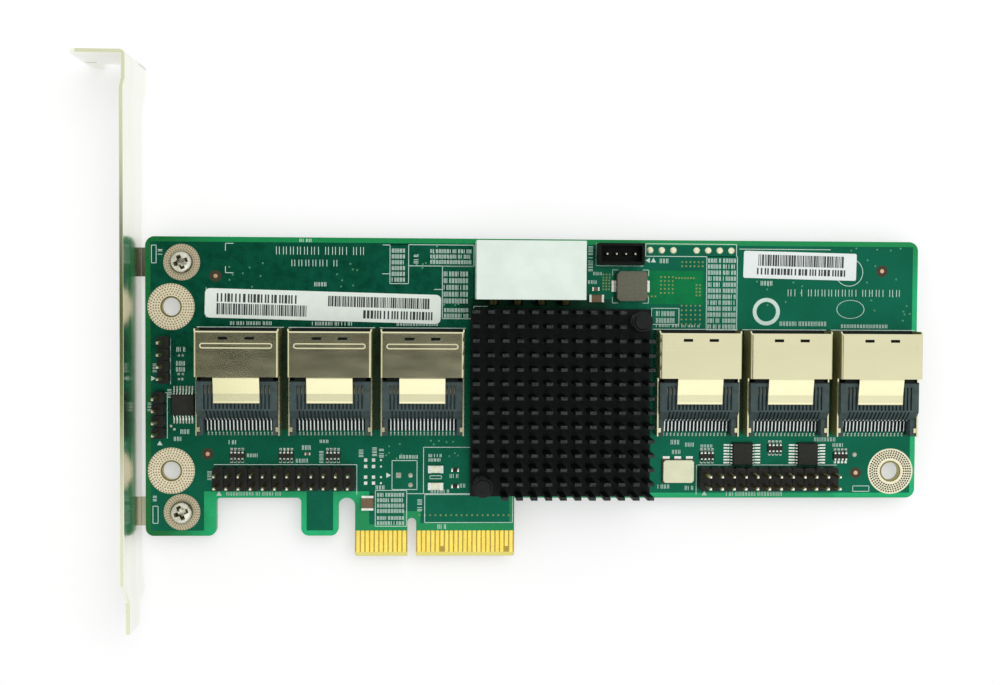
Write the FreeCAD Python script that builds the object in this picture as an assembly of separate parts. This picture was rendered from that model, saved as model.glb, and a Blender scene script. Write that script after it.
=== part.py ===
import FreeCAD
import Part
import math
import os

Vector = FreeCAD.Vector

# Storage expander card. The origin is the key notch's centreline at the lower edge of the
# contacts, on the component face. +X runs along the card away from the bracket, +Y to the
# card's top edge, +Z out of the component face. Sizes are in millimetres.

# Circuit board
board_thickness = 1.57
key_to_left_edge = 57.15
edge_tab_height = 12.70
lobe_end_height = 4.46
slot_width = 3.58
small_lobe_width = 8.04
wide_notch_width = 18.15
board_corner_radius = 2.0
lobe_corner_radius = 1.7
notch_corner_radius = 0.9
right_edge_margin = 0.95
hole_radius = 2.0
hole_inset_left = 5.50
hole_inset_right = 5.45
hole_above_tab = 5.85
hole_spacing_y = 35.29

# Edge contacts
contact_pitch = 1.0
contact_width = 0.70
contact_thickness = 0.05
contact_low_end = 0.90
contact_top_end = 5.57
short_contact_end = 2.17
contact_side_margin = 0.30
key_notch_width = 1.90
key_notch_height = 8.30
left_contacts = 11
right_contacts = 21
bevel_height = 0.80
bevel_depth = 0.30
contact_tab_chamfer = 0.40
front_short_pins = (17, 31)
back_short_pins = (1,)

# Drive-cable ports
port_width = 17.75
port_pitch = 19.58
port_depth = 22.80
port_height = 7.30
port_sheet = 0.30
port_bend = 0.25
port_rear_above_tab = 13.90
first_port_inset = 11.35
roof_setback = 0.80
roof_depth = 9.40
rear_wall_height = 4.50
latch_slot_length = 2.0
latch_slot_width = 0.62
latch_slot_setback = 0.90
latch_slot_spacing = 5.54
groove_length = 15.2
groove_width = 1.20
groove_depth = 0.18
groove_setback = 2.80
tongue_width = 9.70
tongue_length = 5.45
tongue_drop = 1.00
tongue_knee_drop = 0.25
port_fit = 0.05

# Port housing and contacts
housing_front_gap = 0.80
housing_block_rear = 3.60
housing_slope_depth = 1.80
housing_slope_top = 3.90
port_floor = 0.90
nose_length = 6.2
nose_width = 15.2
nose_height = 4.2
nose_lift = 1.50
nose_slot_width = 14.4
nose_slot_height = 1.40
nose_slot_depth = 5.0
cheek_width = 1.15
port_contact_pitch = 0.80
port_contact_count = 18
port_contact_width = 0.30
contact_root = 3.60
contact_depth = 0.35
contact_foot = 0.45
contact_foot_inset = 0.05

# Heat sink and what it sits on
sink_length = 38.75
sink_width = 40.35
sink_side_gap = 1.40
sink_above_tab = 0.85
sink_base = 1.70
sink_pin_height = 8.50
sink_columns = 13
sink_rows = 14
sink_pin_x = 1.40
sink_pin_y = 0.70
sink_pin_inset = 0.30
chip_size = 27.0
chip_height = 2.0
chip_lid_size = 23.0
chip_lid_height = 0.9
thermal_pad_size = 22.0
thermal_pad_height = 0.30
push_pin_inset = 2.60
push_pin_shank = 1.35
push_pin_head = 2.20
push_pin_head_height = 1.3
push_pin_gap = 0.20
push_pin_barb = 1.85
push_pin_tip = 2.3
spring_height = 4.6

# Bracket
bracket_sheet = 0.86
bracket_width = 18.42
bracket_height = 120.02
bracket_gap = 1.20
bracket_above_board = 37.14
bracket_bend = 0.35
upper_jog = 0.45
upper_jog_top = 5.65
upper_jog_rise = 1.90
tongue_jog = 0.45
bracket_tongue_width = 10.19
bracket_tongue_length = 6.68
tongue_inset = 3.39
near_taper = 4.0
far_taper = 2.2
top_tab_length = 11.43
top_tab_width = 21.59
top_tab_chamfer = 1.3
upper_part_height = 8.0
upper_part_step = 1.0
screw_notch_width = 4.42
screw_notch_depth = 6.0
screw_notch_setback = 6.35
tab_slit_length = 2.7
tab_slit_width = 0.5
tab_slit_inset = 13.5
board_tab_width = 6.3
board_tab_length = 12.6
board_tab_chamfer = 1.0

# Bracket screws
screw_inset = 7.75
screw_from_top = 5.50
screw_above_lobe = 5.15
screw_radius = 1.50
screw_head_radius = 2.45
screw_head_height = 1.80
screw_head_crown = 0.5
screw_end = 0.8
screw_gap = 0.10

# Power connector
power_width = 23.05
power_depth = 12.40
power_height = 10.9
power_wall = 1.0
power_back_wall = 3.0
power_key_chamfer = 2.0
power_to_sink = 1.95
power_front_margin = 0.65
power_offset = 12.48
power_pin_pitch = 5.08
power_pin_count = 4
power_pin_radius = 1.05
power_pin_setback = 1.6
power_tail_size = 1.0
power_tail_gap = 0.25

# Pin headers
pin_pitch = 2.54
pin_size = 0.64
header_height = 2.54
pin_top = 8.54
pin_fit = 0.01
drive_header_columns = 12
drive_header_rows = 2
drive_header_above_tab = 4.32
left_header_offset = 10.10
right_header_offset = 3.40
side_header_pins = 4
upper_side_inset = 4.10
lower_side_inset = 3.05
upper_side_above_tab = 29.79
lower_side_above_tab = 17.97

# Shrouded signal header
signal_width = 9.9
signal_depth = 4.6
signal_height = 5.0
signal_wall = 0.6
signal_floor = 1.5
signal_pin_pitch = 2.0
signal_pin_count = 4
signal_pin_size = 0.5
signal_pin_top = 4.3
signal_from_power = 8.14
signal_front_margin = 0.85

# Driver chips, 14 leads at 0.65
driver_length = 5.0
driver_width = 4.4
driver_height = 1.0
driver_standoff = 0.1
driver_chamfer = 0.2
lead_pitch = 0.65
lead_count = 7
lead_width = 0.25
lead_thickness = 0.15
lead_reach = 1.1
lead_foot = 0.6
left_driver_inset = 8.05
left_driver_above_tab = 20.10
right_driver_above_tab = 9.65
right_driver_offsets = (-9.0, 5.4)

# Inductor
inductor_size = 6.5
inductor_height = 3.0
inductor_chamfer = 0.6
inductor_from_signal = 2.6
inductor_rise = 3.0
terminal_width = 2.5
terminal_reach = 0.9
terminal_thickness = 0.25
terminal_rise = 1.4

# Oscillator
oscillator_length = 7.0
oscillator_width = 5.2
oscillator_base = 0.6
oscillator_lid = 0.8
oscillator_lid_inset = 0.15
oscillator_corner = 0.4
oscillator_offset = 3.55
oscillator_above_tab = 5.9

# Resistor networks, capacitors and status lights
network_length = 3.2
network_width = 1.6
network_height = 0.55
network_above_tab = 9.2
left_network_offsets = (-20.25, -9.75, 0.3)
right_network_offsets = (-16.75, -1.75, 12.8)
middle_network_rise = 1.75
capacitor_length = 3.2
capacitor_width = 1.6
capacitor_height = 1.2
large_capacitor_width = 2.5
capacitor_cap = 0.5
capacitor_skin = 0.04
supply_capacitor_gap = 1.75
supply_capacitor_rise = 0.3
tab_capacitor_gap = 2.7
tab_capacitor_drop = 1.0
light_length = 3.2
light_width = 1.5
light_height = 0.6
light_lens_length = 2.0
light_lens_height = 0.5
light_offset = 2.9
lights_above_tab = (2.6, 6.3)

# Labels
label_thickness = 0.12
left_label_length = 50.6
left_label_width = 6.3
left_label_turn = -1.35
left_label_offset = 1.85
left_label_gap = 4.75
right_label_length = 24.9
right_label_width = 5.9
right_label_turn = -1.2
right_label_offset = 3.3
right_label_from_top = 5.35

# Sides of a small turned piece, and how far a cut runs on past the face it opens
small_round_sides = 10
cut_past = 1.0

# Places worked out from the sizes above
board_left = -key_to_left_edge
board_back = -board_thickness
contact_start = key_notch_width / 2 + contact_side_margin + contact_width / 2
contact_tab_left = -(contact_start + (left_contacts - 1) * contact_pitch + contact_width / 2
                     + contact_side_margin)
contact_tab_right = (contact_start + (right_contacts - 1) * contact_pitch + contact_width / 2
                     + contact_side_margin)
small_lobe_right = contact_tab_left - slot_width
small_lobe_left = small_lobe_right - small_lobe_width
left_lobe_right = small_lobe_left - wide_notch_width

port_x_1 = board_left + first_port_inset + port_width / 2
left_ports = [port_x_1 + i * port_pitch for i in range(3)]
sink_left = left_ports[2] + port_width / 2 + sink_side_gap
sink_right = sink_left + sink_length
port_x_4 = sink_right + sink_side_gap + port_width / 2
right_ports = [port_x_4 + i * port_pitch for i in range(3)]
port_centres = left_ports + right_ports
board_right = right_ports[2] + port_width / 2 + right_edge_margin

sink_low = edge_tab_height + sink_above_tab
sink_high = sink_low + sink_width
power_rear = sink_high + power_to_sink
power_front = power_rear + power_depth
board_top = power_front + power_front_margin
port_rear = edge_tab_height + port_rear_above_tab
port_mouth = port_rear + port_depth
roof_front = port_mouth - roof_setback
roof_rear = roof_front - roof_depth
block_front = roof_rear - housing_front_gap
block_rear = port_rear + housing_block_rear
sink_floor = chip_height + thermal_pad_height
sink_base_top = sink_floor + sink_base
sink_x = (sink_left + sink_right) / 2
sink_y = (sink_low + sink_high) / 2
push_pin_places = [(sink_left + push_pin_inset, sink_low + push_pin_inset),
                   (sink_right - push_pin_inset, sink_high - push_pin_inset)]
push_pin_hole = push_pin_shank + push_pin_gap
push_pin_room = push_pin_head + push_pin_gap

hole_left = board_left + hole_inset_left
hole_right = board_right - hole_inset_right
hole_low = edge_tab_height + hole_above_tab
hole_places = [(hole_left, hole_low), (hole_left, hole_low + hole_spacing_y), (hole_right, hole_low)]
screw_x = board_left + screw_inset
screw_places = [(screw_x, lobe_end_height + screw_above_lobe), (screw_x, board_top - screw_from_top)]

bracket_inner = board_left - bracket_gap
bracket_far = board_back - bracket_sheet
bracket_near = bracket_far + bracket_width
bracket_top = board_top + bracket_above_board
bracket_low = bracket_top - bracket_height
upper_inner = bracket_inner + upper_jog
tab_end = upper_inner - top_tab_length
upper_far = bracket_near - top_tab_width

drive_header_y = edge_tab_height + drive_header_above_tab
left_header_x = left_ports[1] - left_header_offset
right_header_x = right_ports[1] - right_header_offset
upper_side_x = board_left + upper_side_inset
lower_side_x = board_left + lower_side_inset
upper_side_y = edge_tab_height + upper_side_above_tab
lower_side_y = edge_tab_height + lower_side_above_tab
power_x = sink_left + power_offset
power_pin_z = power_height / 2
power_tail_y = power_rear - power_tail_gap - power_tail_size / 2
signal_x = power_x + power_width / 2 + signal_from_power
signal_y = board_top - signal_front_margin - signal_depth / 2
inductor_x = signal_x + inductor_from_signal
inductor_y = power_rear + inductor_rise
inductor_left = inductor_x - inductor_size / 2 - terminal_reach
supply_capacitor_x = inductor_left - supply_capacitor_gap - capacitor_length / 2
supply_capacitor_y = power_rear + supply_capacitor_rise
tab_capacitor_x = contact_tab_left + tab_capacitor_gap
tab_capacitor_y = edge_tab_height - tab_capacitor_drop
oscillator_x = right_ports[0] - oscillator_offset
oscillator_y = edge_tab_height + oscillator_above_tab
network_y = edge_tab_height + network_above_tab
network_places = [(left_ports[1] + dx, network_y) for dx in left_network_offsets]
network_places += [(right_ports[1] + right_network_offsets[0], network_y),
                   (right_ports[1] + right_network_offsets[1], network_y + middle_network_rise),
                   (right_ports[1] + right_network_offsets[2], network_y)]
light_places = [(left_ports[2] + light_offset, edge_tab_height + rise) for rise in lights_above_tab]
left_driver = (board_left + left_driver_inset, edge_tab_height + left_driver_above_tab)
right_driver_y = edge_tab_height + right_driver_above_tab
right_drivers = [(right_ports[1] + dx, right_driver_y) for dx in right_driver_offsets]


# Shape helpers

def block(x0, x1, y0, y1, z0, z1):
    return Part.makeBox(x1 - x0, y1 - y0, z1 - z0, Vector(x0, y0, z0))


def pad(x, y, z0, length, width, height):
    return block(x - length / 2, x + length / 2, y - width / 2, y + width / 2, z0, z0 + height)


def rod(x, y, z0, z1, radius):
    return Part.makeCylinder(radius, z1 - z0, Vector(x, y, z0))


def ring(radius, x=0, y=0):
    """Corners of a small round, as a regular outline about (x, y)."""
    turns = [2 * math.pi * (i + 0.5) / small_round_sides for i in range(small_round_sides)]
    return [(x + radius * math.cos(a), y + radius * math.sin(a)) for a in turns]


def prism(points, axis, start, length):
    """Extrude an outline along an axis; its points are given in the other two axes, in order."""
    place = {"x": lambda p: Vector(start, p[0], p[1]),
             "y": lambda p: Vector(p[0], start, p[1]),
             "z": lambda p: Vector(p[0], p[1], start)}[axis]
    way = {"x": Vector(length, 0, 0), "y": Vector(0, length, 0), "z": Vector(0, 0, length)}[axis]
    corners = [place(p) for p in points]
    return Part.Face(Part.makePolygon(corners + corners[:1])).extrude(way)


def taper(low_outline, low, high_outline, high):
    """A solid with flat sides that runs from one level outline to a like one above it."""
    under = [Vector(x, y, low) for x, y in low_outline]
    over = [Vector(x, y, high) for x, y in high_outline]
    outlines = [under, over]
    for i in range(len(under)):
        outlines.append([under[i - 1], under[i], over[i], over[i - 1]])
    faces = [Part.Face(Part.makePolygon(corners + corners[:1])) for corners in outlines]
    return Part.makeSolid(Part.makeShell(faces))


def upright_edges(shape, corners):
    """The edges along Z that stand on the given corners."""
    found = []
    for edge in shape.Edges:
        a, b = edge.Vertexes[0].Point, edge.Vertexes[-1].Point
        if math.hypot(a.x - b.x, a.y - b.y) < 1e-6 and abs(a.z - b.z) > 1e-6:
            if any(math.hypot(a.x - x, a.y - y) < 1e-4 for x, y in corners):
                found.append(edge)
    return found


def thick_line(points, thickness):
    """Outline of a bent strip: a centreline offset to both sides, mitred at its bends."""
    sides = ([], [])
    for i, (u, v) in enumerate(points):
        before = points[max(i - 1, 0)]
        after = points[min(i + 1, len(points) - 1)]
        a1 = math.atan2(v - before[1], u - before[0]) if i else None
        a2 = math.atan2(after[1] - v, after[0] - u) if i < len(points) - 1 else a1
        a1 = a2 if a1 is None else a1
        mid = (a1 + a2) / 2
        reach = thickness / 2 / math.cos((a2 - a1) / 2)
        for side, sign in zip(sides, (1, -1)):
            side.append((u - sign * reach * math.sin(mid), v + sign * reach * math.cos(mid)))
    return sides[0] + sides[1][::-1]


def joined(shapes):
    return shapes[0].multiFuse(shapes[1:]).removeSplitter()


def pin_grid(x, y, columns, rows, pitch_x, pitch_y):
    """Centres of a grid of pins about (x, y)."""
    return [(x + (i - (columns - 1) / 2) * pitch_x, y + (j - (rows - 1) / 2) * pitch_y)
            for j in range(rows) for i in range(columns)]


# Where the connectors' pins stand
left_header_pins = pin_grid(left_header_x, drive_header_y, drive_header_columns, drive_header_rows,
                            pin_pitch, pin_pitch)
right_header_pins = pin_grid(right_header_x, drive_header_y, drive_header_columns, drive_header_rows,
                             pin_pitch, pin_pitch)
upper_side_pins = pin_grid(upper_side_x, upper_side_y, 1, side_header_pins, pin_pitch, pin_pitch)
lower_side_pins = pin_grid(lower_side_x, lower_side_y, 1, side_header_pins, pin_pitch, pin_pitch)
signal_pins = pin_grid(signal_x, signal_y, signal_pin_count, 1, signal_pin_pitch, signal_pin_pitch)
power_pins = pin_grid(power_x, power_tail_y, power_pin_count, 1, power_pin_pitch, power_pin_pitch)


# Circuit board

def circuit_board():
    outline = [(board_left, board_top), (board_left, lobe_end_height), (left_lobe_right, lobe_end_height),
               (left_lobe_right, edge_tab_height), (small_lobe_left, edge_tab_height),
               (small_lobe_left, lobe_end_height), (small_lobe_right, lobe_end_height),
               (small_lobe_right, edge_tab_height - slot_width / 2),
               (contact_tab_left, edge_tab_height - slot_width / 2), (contact_tab_left, 0),
               (contact_tab_right, 0), (contact_tab_right, edge_tab_height),
               (board_right, edge_tab_height), (board_right, board_top)]
    board = prism(outline, "z", board_back, board_thickness)
    outer = [outline[0], outline[12], outline[13]]
    board = board.makeFillet(board_corner_radius, upright_edges(board, outer))
    lobes = [outline[1], outline[2], outline[5], outline[6]]
    board = board.makeFillet(lobe_corner_radius, upright_edges(board, lobes))
    board = board.makeFillet(notch_corner_radius, upright_edges(board, outline[3:5]))
    board = board.makeChamfer(contact_tab_chamfer, upright_edges(board, outline[9:11]))
    return board.cut(board_cuts())


def board_cuts():
    slot_x = (small_lobe_right + contact_tab_left) / 2
    key_top = key_notch_height - key_notch_width / 2
    low, high = board_back - cut_past, cut_past
    cuts = [rod(slot_x, edge_tab_height - slot_width / 2, low, high, slot_width / 2),
            block(-key_notch_width / 2, key_notch_width / 2, -cut_past, key_top, low, high),
            rod(0, key_top, low, high, key_notch_width / 2)]
    span = contact_tab_right - contact_tab_left + 2 * cut_past
    for face, depth in ((0, -bevel_depth), (board_back, bevel_depth)):
        wedge = [(0, face), (bevel_height, face), (0, face + depth)]
        cuts.append(prism(wedge, "x", contact_tab_left - cut_past, span))
    cuts += [rod(x, y, low, high, hole_radius) for x, y in hole_places]
    for places, radius in ((screw_places, screw_radius + screw_gap), (push_pin_places, push_pin_hole)):
        cuts += [prism(ring(radius, x, y), "z", low, high - low) for x, y in places]
    return Part.makeCompound(cuts)


def edge_contacts():
    pads = []
    for pin in range(1, left_contacts + right_contacts + 1):
        step = (pin - left_contacts - 1) if pin > left_contacts else (pin - left_contacts)
        x = step * contact_pitch + math.copysign(contact_start, pin - left_contacts - 0.5)
        for z, short_pins in ((0, front_short_pins), (board_back - contact_thickness, back_short_pins)):
            low = short_contact_end if pin in short_pins else contact_low_end
            pads.append(block(x - contact_width / 2, x + contact_width / 2, low, contact_top_end,
                              z, z + contact_thickness))
    return Part.makeCompound(pads)


# Bracket and its screws

def bracket_sheet_profile():
    """The folded sheet seen along Z: tongue, plate, upper part and the top tab, both faces."""
    jog_end = bracket_low + bracket_tongue_length
    jog_start = jog_end + near_taper
    upper_start = bracket_top - upper_jog_top
    inner = [(bracket_inner + tongue_jog, bracket_low), (bracket_inner + tongue_jog, jog_end),
             (bracket_inner, jog_start), (bracket_inner, upper_start - upper_jog_rise),
             (upper_inner, upper_start)]
    outer = [(x - bracket_sheet, y) for x, y in reversed(inner)]
    fold = [(upper_inner, bracket_top), (tab_end, bracket_top), (tab_end, bracket_top - bracket_sheet),
            (upper_inner - bracket_sheet, bracket_top - bracket_sheet)]
    return inner + fold + outer, fold


def bracket_flat_pattern():
    """Outline of the upright sheet in Y and Z: wide upper part, plate, and tongue between two tapers."""
    top = bracket_top + cut_past
    upper_low = bracket_top - upper_part_height
    tongue_near = bracket_near - tongue_inset
    tongue_far = tongue_near - bracket_tongue_width
    tongue_top = bracket_low + bracket_tongue_length
    return [(top, bracket_near), (top, upper_far), (upper_low + upper_part_step, upper_far),
            (upper_low, bracket_far), (tongue_top, bracket_far), (tongue_top - far_taper, tongue_far),
            (bracket_low, tongue_far), (bracket_low, tongue_near), (tongue_top, tongue_near),
            (tongue_top + near_taper, bracket_near)]


def top_tab_cuts():
    """The screw notch, open at the tab's far edge, and the short slit in the tab's outer end."""
    low, high = bracket_top - bracket_sheet - cut_past, bracket_top + cut_past
    notch_x = upper_inner - screw_notch_setback
    half = screw_notch_width / 2
    notch_z = upper_far + screw_notch_depth - half
    round_end = Part.makeCylinder(half, high - low, Vector(notch_x, low, notch_z), Vector(0, 1, 0))
    throat = block(notch_x - half, notch_x + half, low, high, upper_far - cut_past, notch_z)
    slit_z = bracket_near - tab_slit_inset
    slit = block(tab_end - cut_past, tab_end + tab_slit_length, low, high,
                 slit_z - tab_slit_width / 2, slit_z + tab_slit_width / 2)
    return Part.makeCompound([round_end, throat, slit])


def is_tab_corner(edge):
    """True for the two short edges along Y at the top tab's outer end."""
    box = edge.BoundBox
    return box.XMax - tab_end < 1e-6 and box.YLength > bracket_sheet / 2


def bracket():
    profile, fold = bracket_sheet_profile()
    sheet = prism(profile, "z", upper_far, top_tab_width)
    sheet = sheet.makeFillet(bracket_bend + bracket_sheet, upright_edges(sheet, fold[:1]))
    sheet = sheet.makeFillet(bracket_bend, upright_edges(sheet, fold[3:]))
    box = sheet.BoundBox
    sheet = sheet.common(prism(bracket_flat_pattern(), "x", box.XMin - cut_past, box.XLength + 2 * cut_past))
    sheet = sheet.makeChamfer(top_tab_chamfer, [edge for edge in sheet.Edges if is_tab_corner(edge)])
    sheet = sheet.cut(top_tab_cuts())
    return joined([sheet] + [board_tab(y) for x, y in screw_places])


def board_tab(y):
    """A tab folded in behind the board, with its screw hole."""
    end = bracket_inner + board_tab_length
    side = board_tab_width / 2
    outline = [(bracket_inner - bracket_sheet / 2, y - side), (end - board_tab_chamfer, y - side),
               (end, y - side + board_tab_chamfer), (end, y + side - board_tab_chamfer),
               (end - board_tab_chamfer, y + side), (bracket_inner - bracket_sheet / 2, y + side)]
    tab = prism(outline, "z", bracket_far, bracket_sheet)
    hole = ring(screw_radius + pin_fit, screw_x, y)
    return tab.cut(prism(hole, "z", bracket_far - cut_past, bracket_sheet + 2 * cut_past))


def bracket_screws():
    return Part.makeCompound([bracket_screw(x, y) for x, y in screw_places])


def bracket_screw(x, y):
    """Pan-head screw: a crowned head and a plain shank through board and tab."""
    low = bracket_far - screw_end
    shank = prism(ring(screw_radius, x, y), "z", low, -low)
    side = screw_head_height - screw_head_crown
    head = prism(ring(screw_head_radius, x, y), "z", 0, side)
    crown = taper(ring(screw_head_radius, x, y), side, ring(screw_head_radius - screw_head_crown, x, y),
                  screw_head_height)
    return joined([shank, head, crown])


# Drive-cable ports

def port_shell(x):
    """Folded shell: roof, two side walls that run on past it, latch slots, groove and tongue."""
    side = port_width / 2
    walls = [(port_rear, 0), (port_mouth, 0), (port_mouth, port_height - roof_setback),
             (roof_front, port_height), (roof_rear, port_height), (roof_rear, rear_wall_height),
             (port_rear, rear_wall_height)]
    blank = prism(walls, "x", x - side, port_width)
    inner = side - port_sheet
    roof_under = port_height - port_sheet
    shell = blank.cut(block(x - inner, x + inner, port_rear - cut_past, port_mouth + cut_past,
                            -cut_past, roof_under))
    shell = shell.makeChamfer(port_bend, [e for e in shell.Edges if is_port_bend(e, x)])
    cuts = [pressed_groove(x, roof_front - groove_setback)]
    slot_y = roof_front - latch_slot_setback - latch_slot_width / 2
    for dx in (-latch_slot_spacing / 2, latch_slot_spacing / 2):
        cuts.append(pad(x + dx, slot_y, roof_under - cut_past, latch_slot_length, latch_slot_width,
                        port_sheet + 2 * cut_past))
    return shell.cut(Part.makeCompound(cuts)).fuse(port_tongue(x)).removeSplitter()


def is_port_bend(edge, x):
    """True for the two outer edges along Y between the roof and the side walls."""
    box = edge.BoundBox
    return (box.YLength > roof_depth / 2 and box.XLength < 1e-6 and box.ZLength < 1e-6
            and abs(box.ZMin - port_height) < 1e-6 and abs(abs(box.XMin - x) - port_width / 2) < 1e-6)


def pressed_groove(x, y):
    """Long groove across the roof with blunt, angled ends."""
    half, side = groove_length / 2, groove_width / 2
    outline = [(half, 0), (half - side, side), (side - half, side), (-half, 0), (side - half, -side),
               (half - side, -side)]
    return prism([(x + u, y + v) for u, v in outline], "z", port_height - groove_depth, cut_past)


def port_tongue(x):
    """The roof's tongue, which slopes down to press on the housing."""
    middle = port_height - port_sheet / 2
    end_y = roof_rear - tongue_length
    line = [(roof_rear, middle), (roof_rear - tongue_length / 2, middle - tongue_knee_drop),
            (end_y + port_sheet, middle - tongue_drop), (end_y, middle - tongue_drop)]
    return prism(thick_line(line, port_sheet), "x", x - tongue_width / 2, tongue_width)


def port_housing(x):
    """Moulded housing: floor, slotted nose in the mouth, block behind, cheeks beside the legs."""
    half = port_width / 2 - port_sheet - port_fit
    top = port_height - tongue_drop - port_sheet
    section = [(block_front, 0), (block_front, top), (block_rear + housing_slope_depth, top),
               (block_rear, housing_slope_top), (block_rear, 0)]
    nose_front = block_front + nose_length
    pieces = [prism(section, "x", x - half, 2 * half),
              block(x - half, x + half, block_front, port_mouth, 0, port_floor),
              block(x - nose_width / 2, x + nose_width / 2, block_front, nose_front, nose_lift,
                    nose_lift + nose_height)]
    for edge in (x - half, x + half - cheek_width):
        pieces.append(block(edge, edge + cheek_width, port_rear, block_rear, 0, housing_slope_top))
    slot_low = nose_lift + (nose_height - nose_slot_height) / 2
    slot = block(x - nose_slot_width / 2, x + nose_slot_width / 2, nose_front - nose_slot_depth,
                 nose_front + cut_past, slot_low, slot_low + nose_slot_height)
    return joined(pieces).cut(slot)


def port_contacts(x):
    """The row of contact legs: each leaves the housing's back and slopes down to stand on the board."""
    foot = port_rear + contact_foot_inset
    leg = [(block_rear, contact_root), (block_rear, contact_root - contact_depth),
           (foot + contact_foot, 0), (foot, 0)]
    row = pin_grid(x, foot, port_contact_count, 1, port_contact_pitch, port_contact_pitch)
    return Part.makeCompound([prism(leg, "x", px - port_contact_width / 2, port_contact_width)
                              for px, py in row])


# Expander chip, heat sink and its push pins

def expander_chip():
    substrate = pad(sink_x, sink_y, 0, chip_size, chip_size, chip_height - chip_lid_height)
    lid = pad(sink_x, sink_y, chip_height - chip_lid_height, chip_lid_size, chip_lid_size, chip_lid_height)
    return substrate.fuse(lid)


def thermal_pad():
    return pad(sink_x, sink_y, chip_height, thermal_pad_size, thermal_pad_size, thermal_pad_height)


def heat_sink():
    """Base plate with a field of oblong pins, left out where the push pins stand."""
    base = block(sink_left, sink_right, sink_low, sink_high, sink_floor, sink_base_top)
    pitch_x = (sink_length - 2 * sink_pin_inset - sink_pin_x) / (sink_columns - 1)
    pitch_y = (sink_width - 2 * sink_pin_inset - sink_pin_y) / (sink_rows - 1)
    pins = []
    for x, y in pin_grid(sink_x, sink_y, sink_columns, sink_rows, pitch_x, pitch_y):
        near = [abs(x - px) - sink_pin_x / 2 < push_pin_room and abs(y - py) - sink_pin_y / 2 < push_pin_room
                for px, py in push_pin_places]
        if not any(near):
            pins.append(pad(x, y, sink_base_top, sink_pin_x, sink_pin_y, sink_pin_height))
    holes = [prism(ring(push_pin_hole, x, y), "z", 0, sink_base_top + cut_past) for x, y in push_pin_places]
    return base.cut(Part.makeCompound(holes)).multiFuse(pins).removeSplitter()


def push_pins():
    return Part.makeCompound([push_pin(x, y) for x, y in push_pin_places])


def push_pin(x, y):
    """Headed pin: shank through sink and board, and a barbed point that catches behind the board."""
    head_low = sink_base_top + spring_height
    head = prism(ring(push_pin_head, x, y), "z", head_low, push_pin_head_height)
    shank = prism(ring(push_pin_shank, x, y), "z", board_back, head_low - board_back)
    point = taper(ring(push_pin_shank / 2, x, y), board_back - push_pin_tip,
                  ring(push_pin_barb, x, y), board_back)
    return joined([head, shank, point])


# Power connector

def power_housing():
    """Shroud open to the top edge, with two keyed corners, and a thick back wall for the pins."""
    side = power_width / 2
    body = block(power_x - side, power_x + side, power_rear, power_front, 0, power_height)
    inner = side - power_wall
    top = power_height - power_wall
    mouth = [(power_x - inner, power_wall), (power_x + inner, power_wall),
             (power_x + inner, top - power_key_chamfer), (power_x + inner - power_key_chamfer, top),
             (power_x - inner + power_key_chamfer, top), (power_x - inner, top - power_key_chamfer)]
    floor_y = power_rear + power_back_wall
    cuts = [prism(mouth, "y", floor_y, power_depth)]
    for x, y in power_pins:
        hole = ring(power_pin_radius + pin_fit, x, power_pin_z)
        cuts.append(prism(hole, "y", power_rear - cut_past, power_back_wall + 2 * cut_past))
    return body.cut(Part.makeCompound(cuts))


def power_connector_pins():
    return Part.makeCompound([power_pin(x) for x, y in power_pins])


def power_pin(x):
    """Round pin; a square tail drops from its back to the board."""
    back = power_tail_y - power_tail_size / 2
    shaft = prism(ring(power_pin_radius, x, power_pin_z), "y", back, power_front - power_pin_setback - back)
    return shaft.fuse(pad(x, power_tail_y, 0, power_tail_size, power_tail_size, power_pin_z))


# Pin headers

def header_housing(x, y, columns, rows, pins):
    """Moulded strip, holed for its pins."""
    strip = pad(x, y, 0, columns * pin_pitch, rows * pin_pitch, header_height)
    hole = pin_size + 2 * pin_fit
    depth = header_height + 2 * cut_past
    return strip.cut(Part.makeCompound([pad(px, py, -cut_past, hole, hole, depth) for px, py in pins]))


def header_pins(pins, size, top):
    return Part.makeCompound([pad(x, y, 0, size, size, top) for x, y in pins])


def signal_housing():
    outer = pad(signal_x, signal_y, 0, signal_width, signal_depth, signal_height)
    inside = pad(signal_x, signal_y, signal_floor, signal_width - 2 * signal_wall,
                 signal_depth - 2 * signal_wall, signal_height)
    size = signal_pin_size + 2 * pin_fit
    holes = [pad(x, y, -cut_past, size, size, signal_height) for x, y in signal_pins]
    return outer.cut(Part.makeCompound([inside.multiFuse(holes)]))


# Driver chips

def driver_body(x, y, turned):
    length, width = (driver_length, driver_width) if turned else (driver_width, driver_length)
    body = pad(x, y, driver_standoff, length, width, driver_height)
    rim = [e for e in body.Edges if abs(e.BoundBox.ZMin - driver_standoff - driver_height) < 1e-6]
    return body.makeChamfer(driver_chamfer, rim)


def driver_leads(x, y, turned):
    """Leads on the two long sides, each sloping from the body's side to a flat foot on the board."""
    root = driver_width / 2
    shoulder = driver_standoff + driver_height / 2
    outline = [(root, shoulder), (root, shoulder - lead_thickness), (root + lead_reach - lead_foot, 0),
               (root + lead_reach, 0)]
    leads = []
    for i in range(lead_count):
        offset = (i - (lead_count - 1) / 2) * lead_pitch - lead_width / 2
        for sign in (1, -1):
            section = [(sign * u, v) for u, v in outline]
            if turned:
                leads.append(prism([(y + u, v) for u, v in section], "x", x + offset, lead_width))
            else:
                leads.append(prism([(x + u, v) for u, v in section], "y", y + offset, lead_width))
    return Part.makeCompound(leads)


# Inductor and oscillator

def inductor_core():
    core = pad(inductor_x, inductor_y, 0, inductor_size, inductor_size, inductor_height)
    half = inductor_size / 2
    corners = [(inductor_x + s * half, inductor_y + t * half) for s in (-1, 1) for t in (-1, 1)]
    return core.makeChamfer(inductor_chamfer, upright_edges(core, corners))


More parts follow.
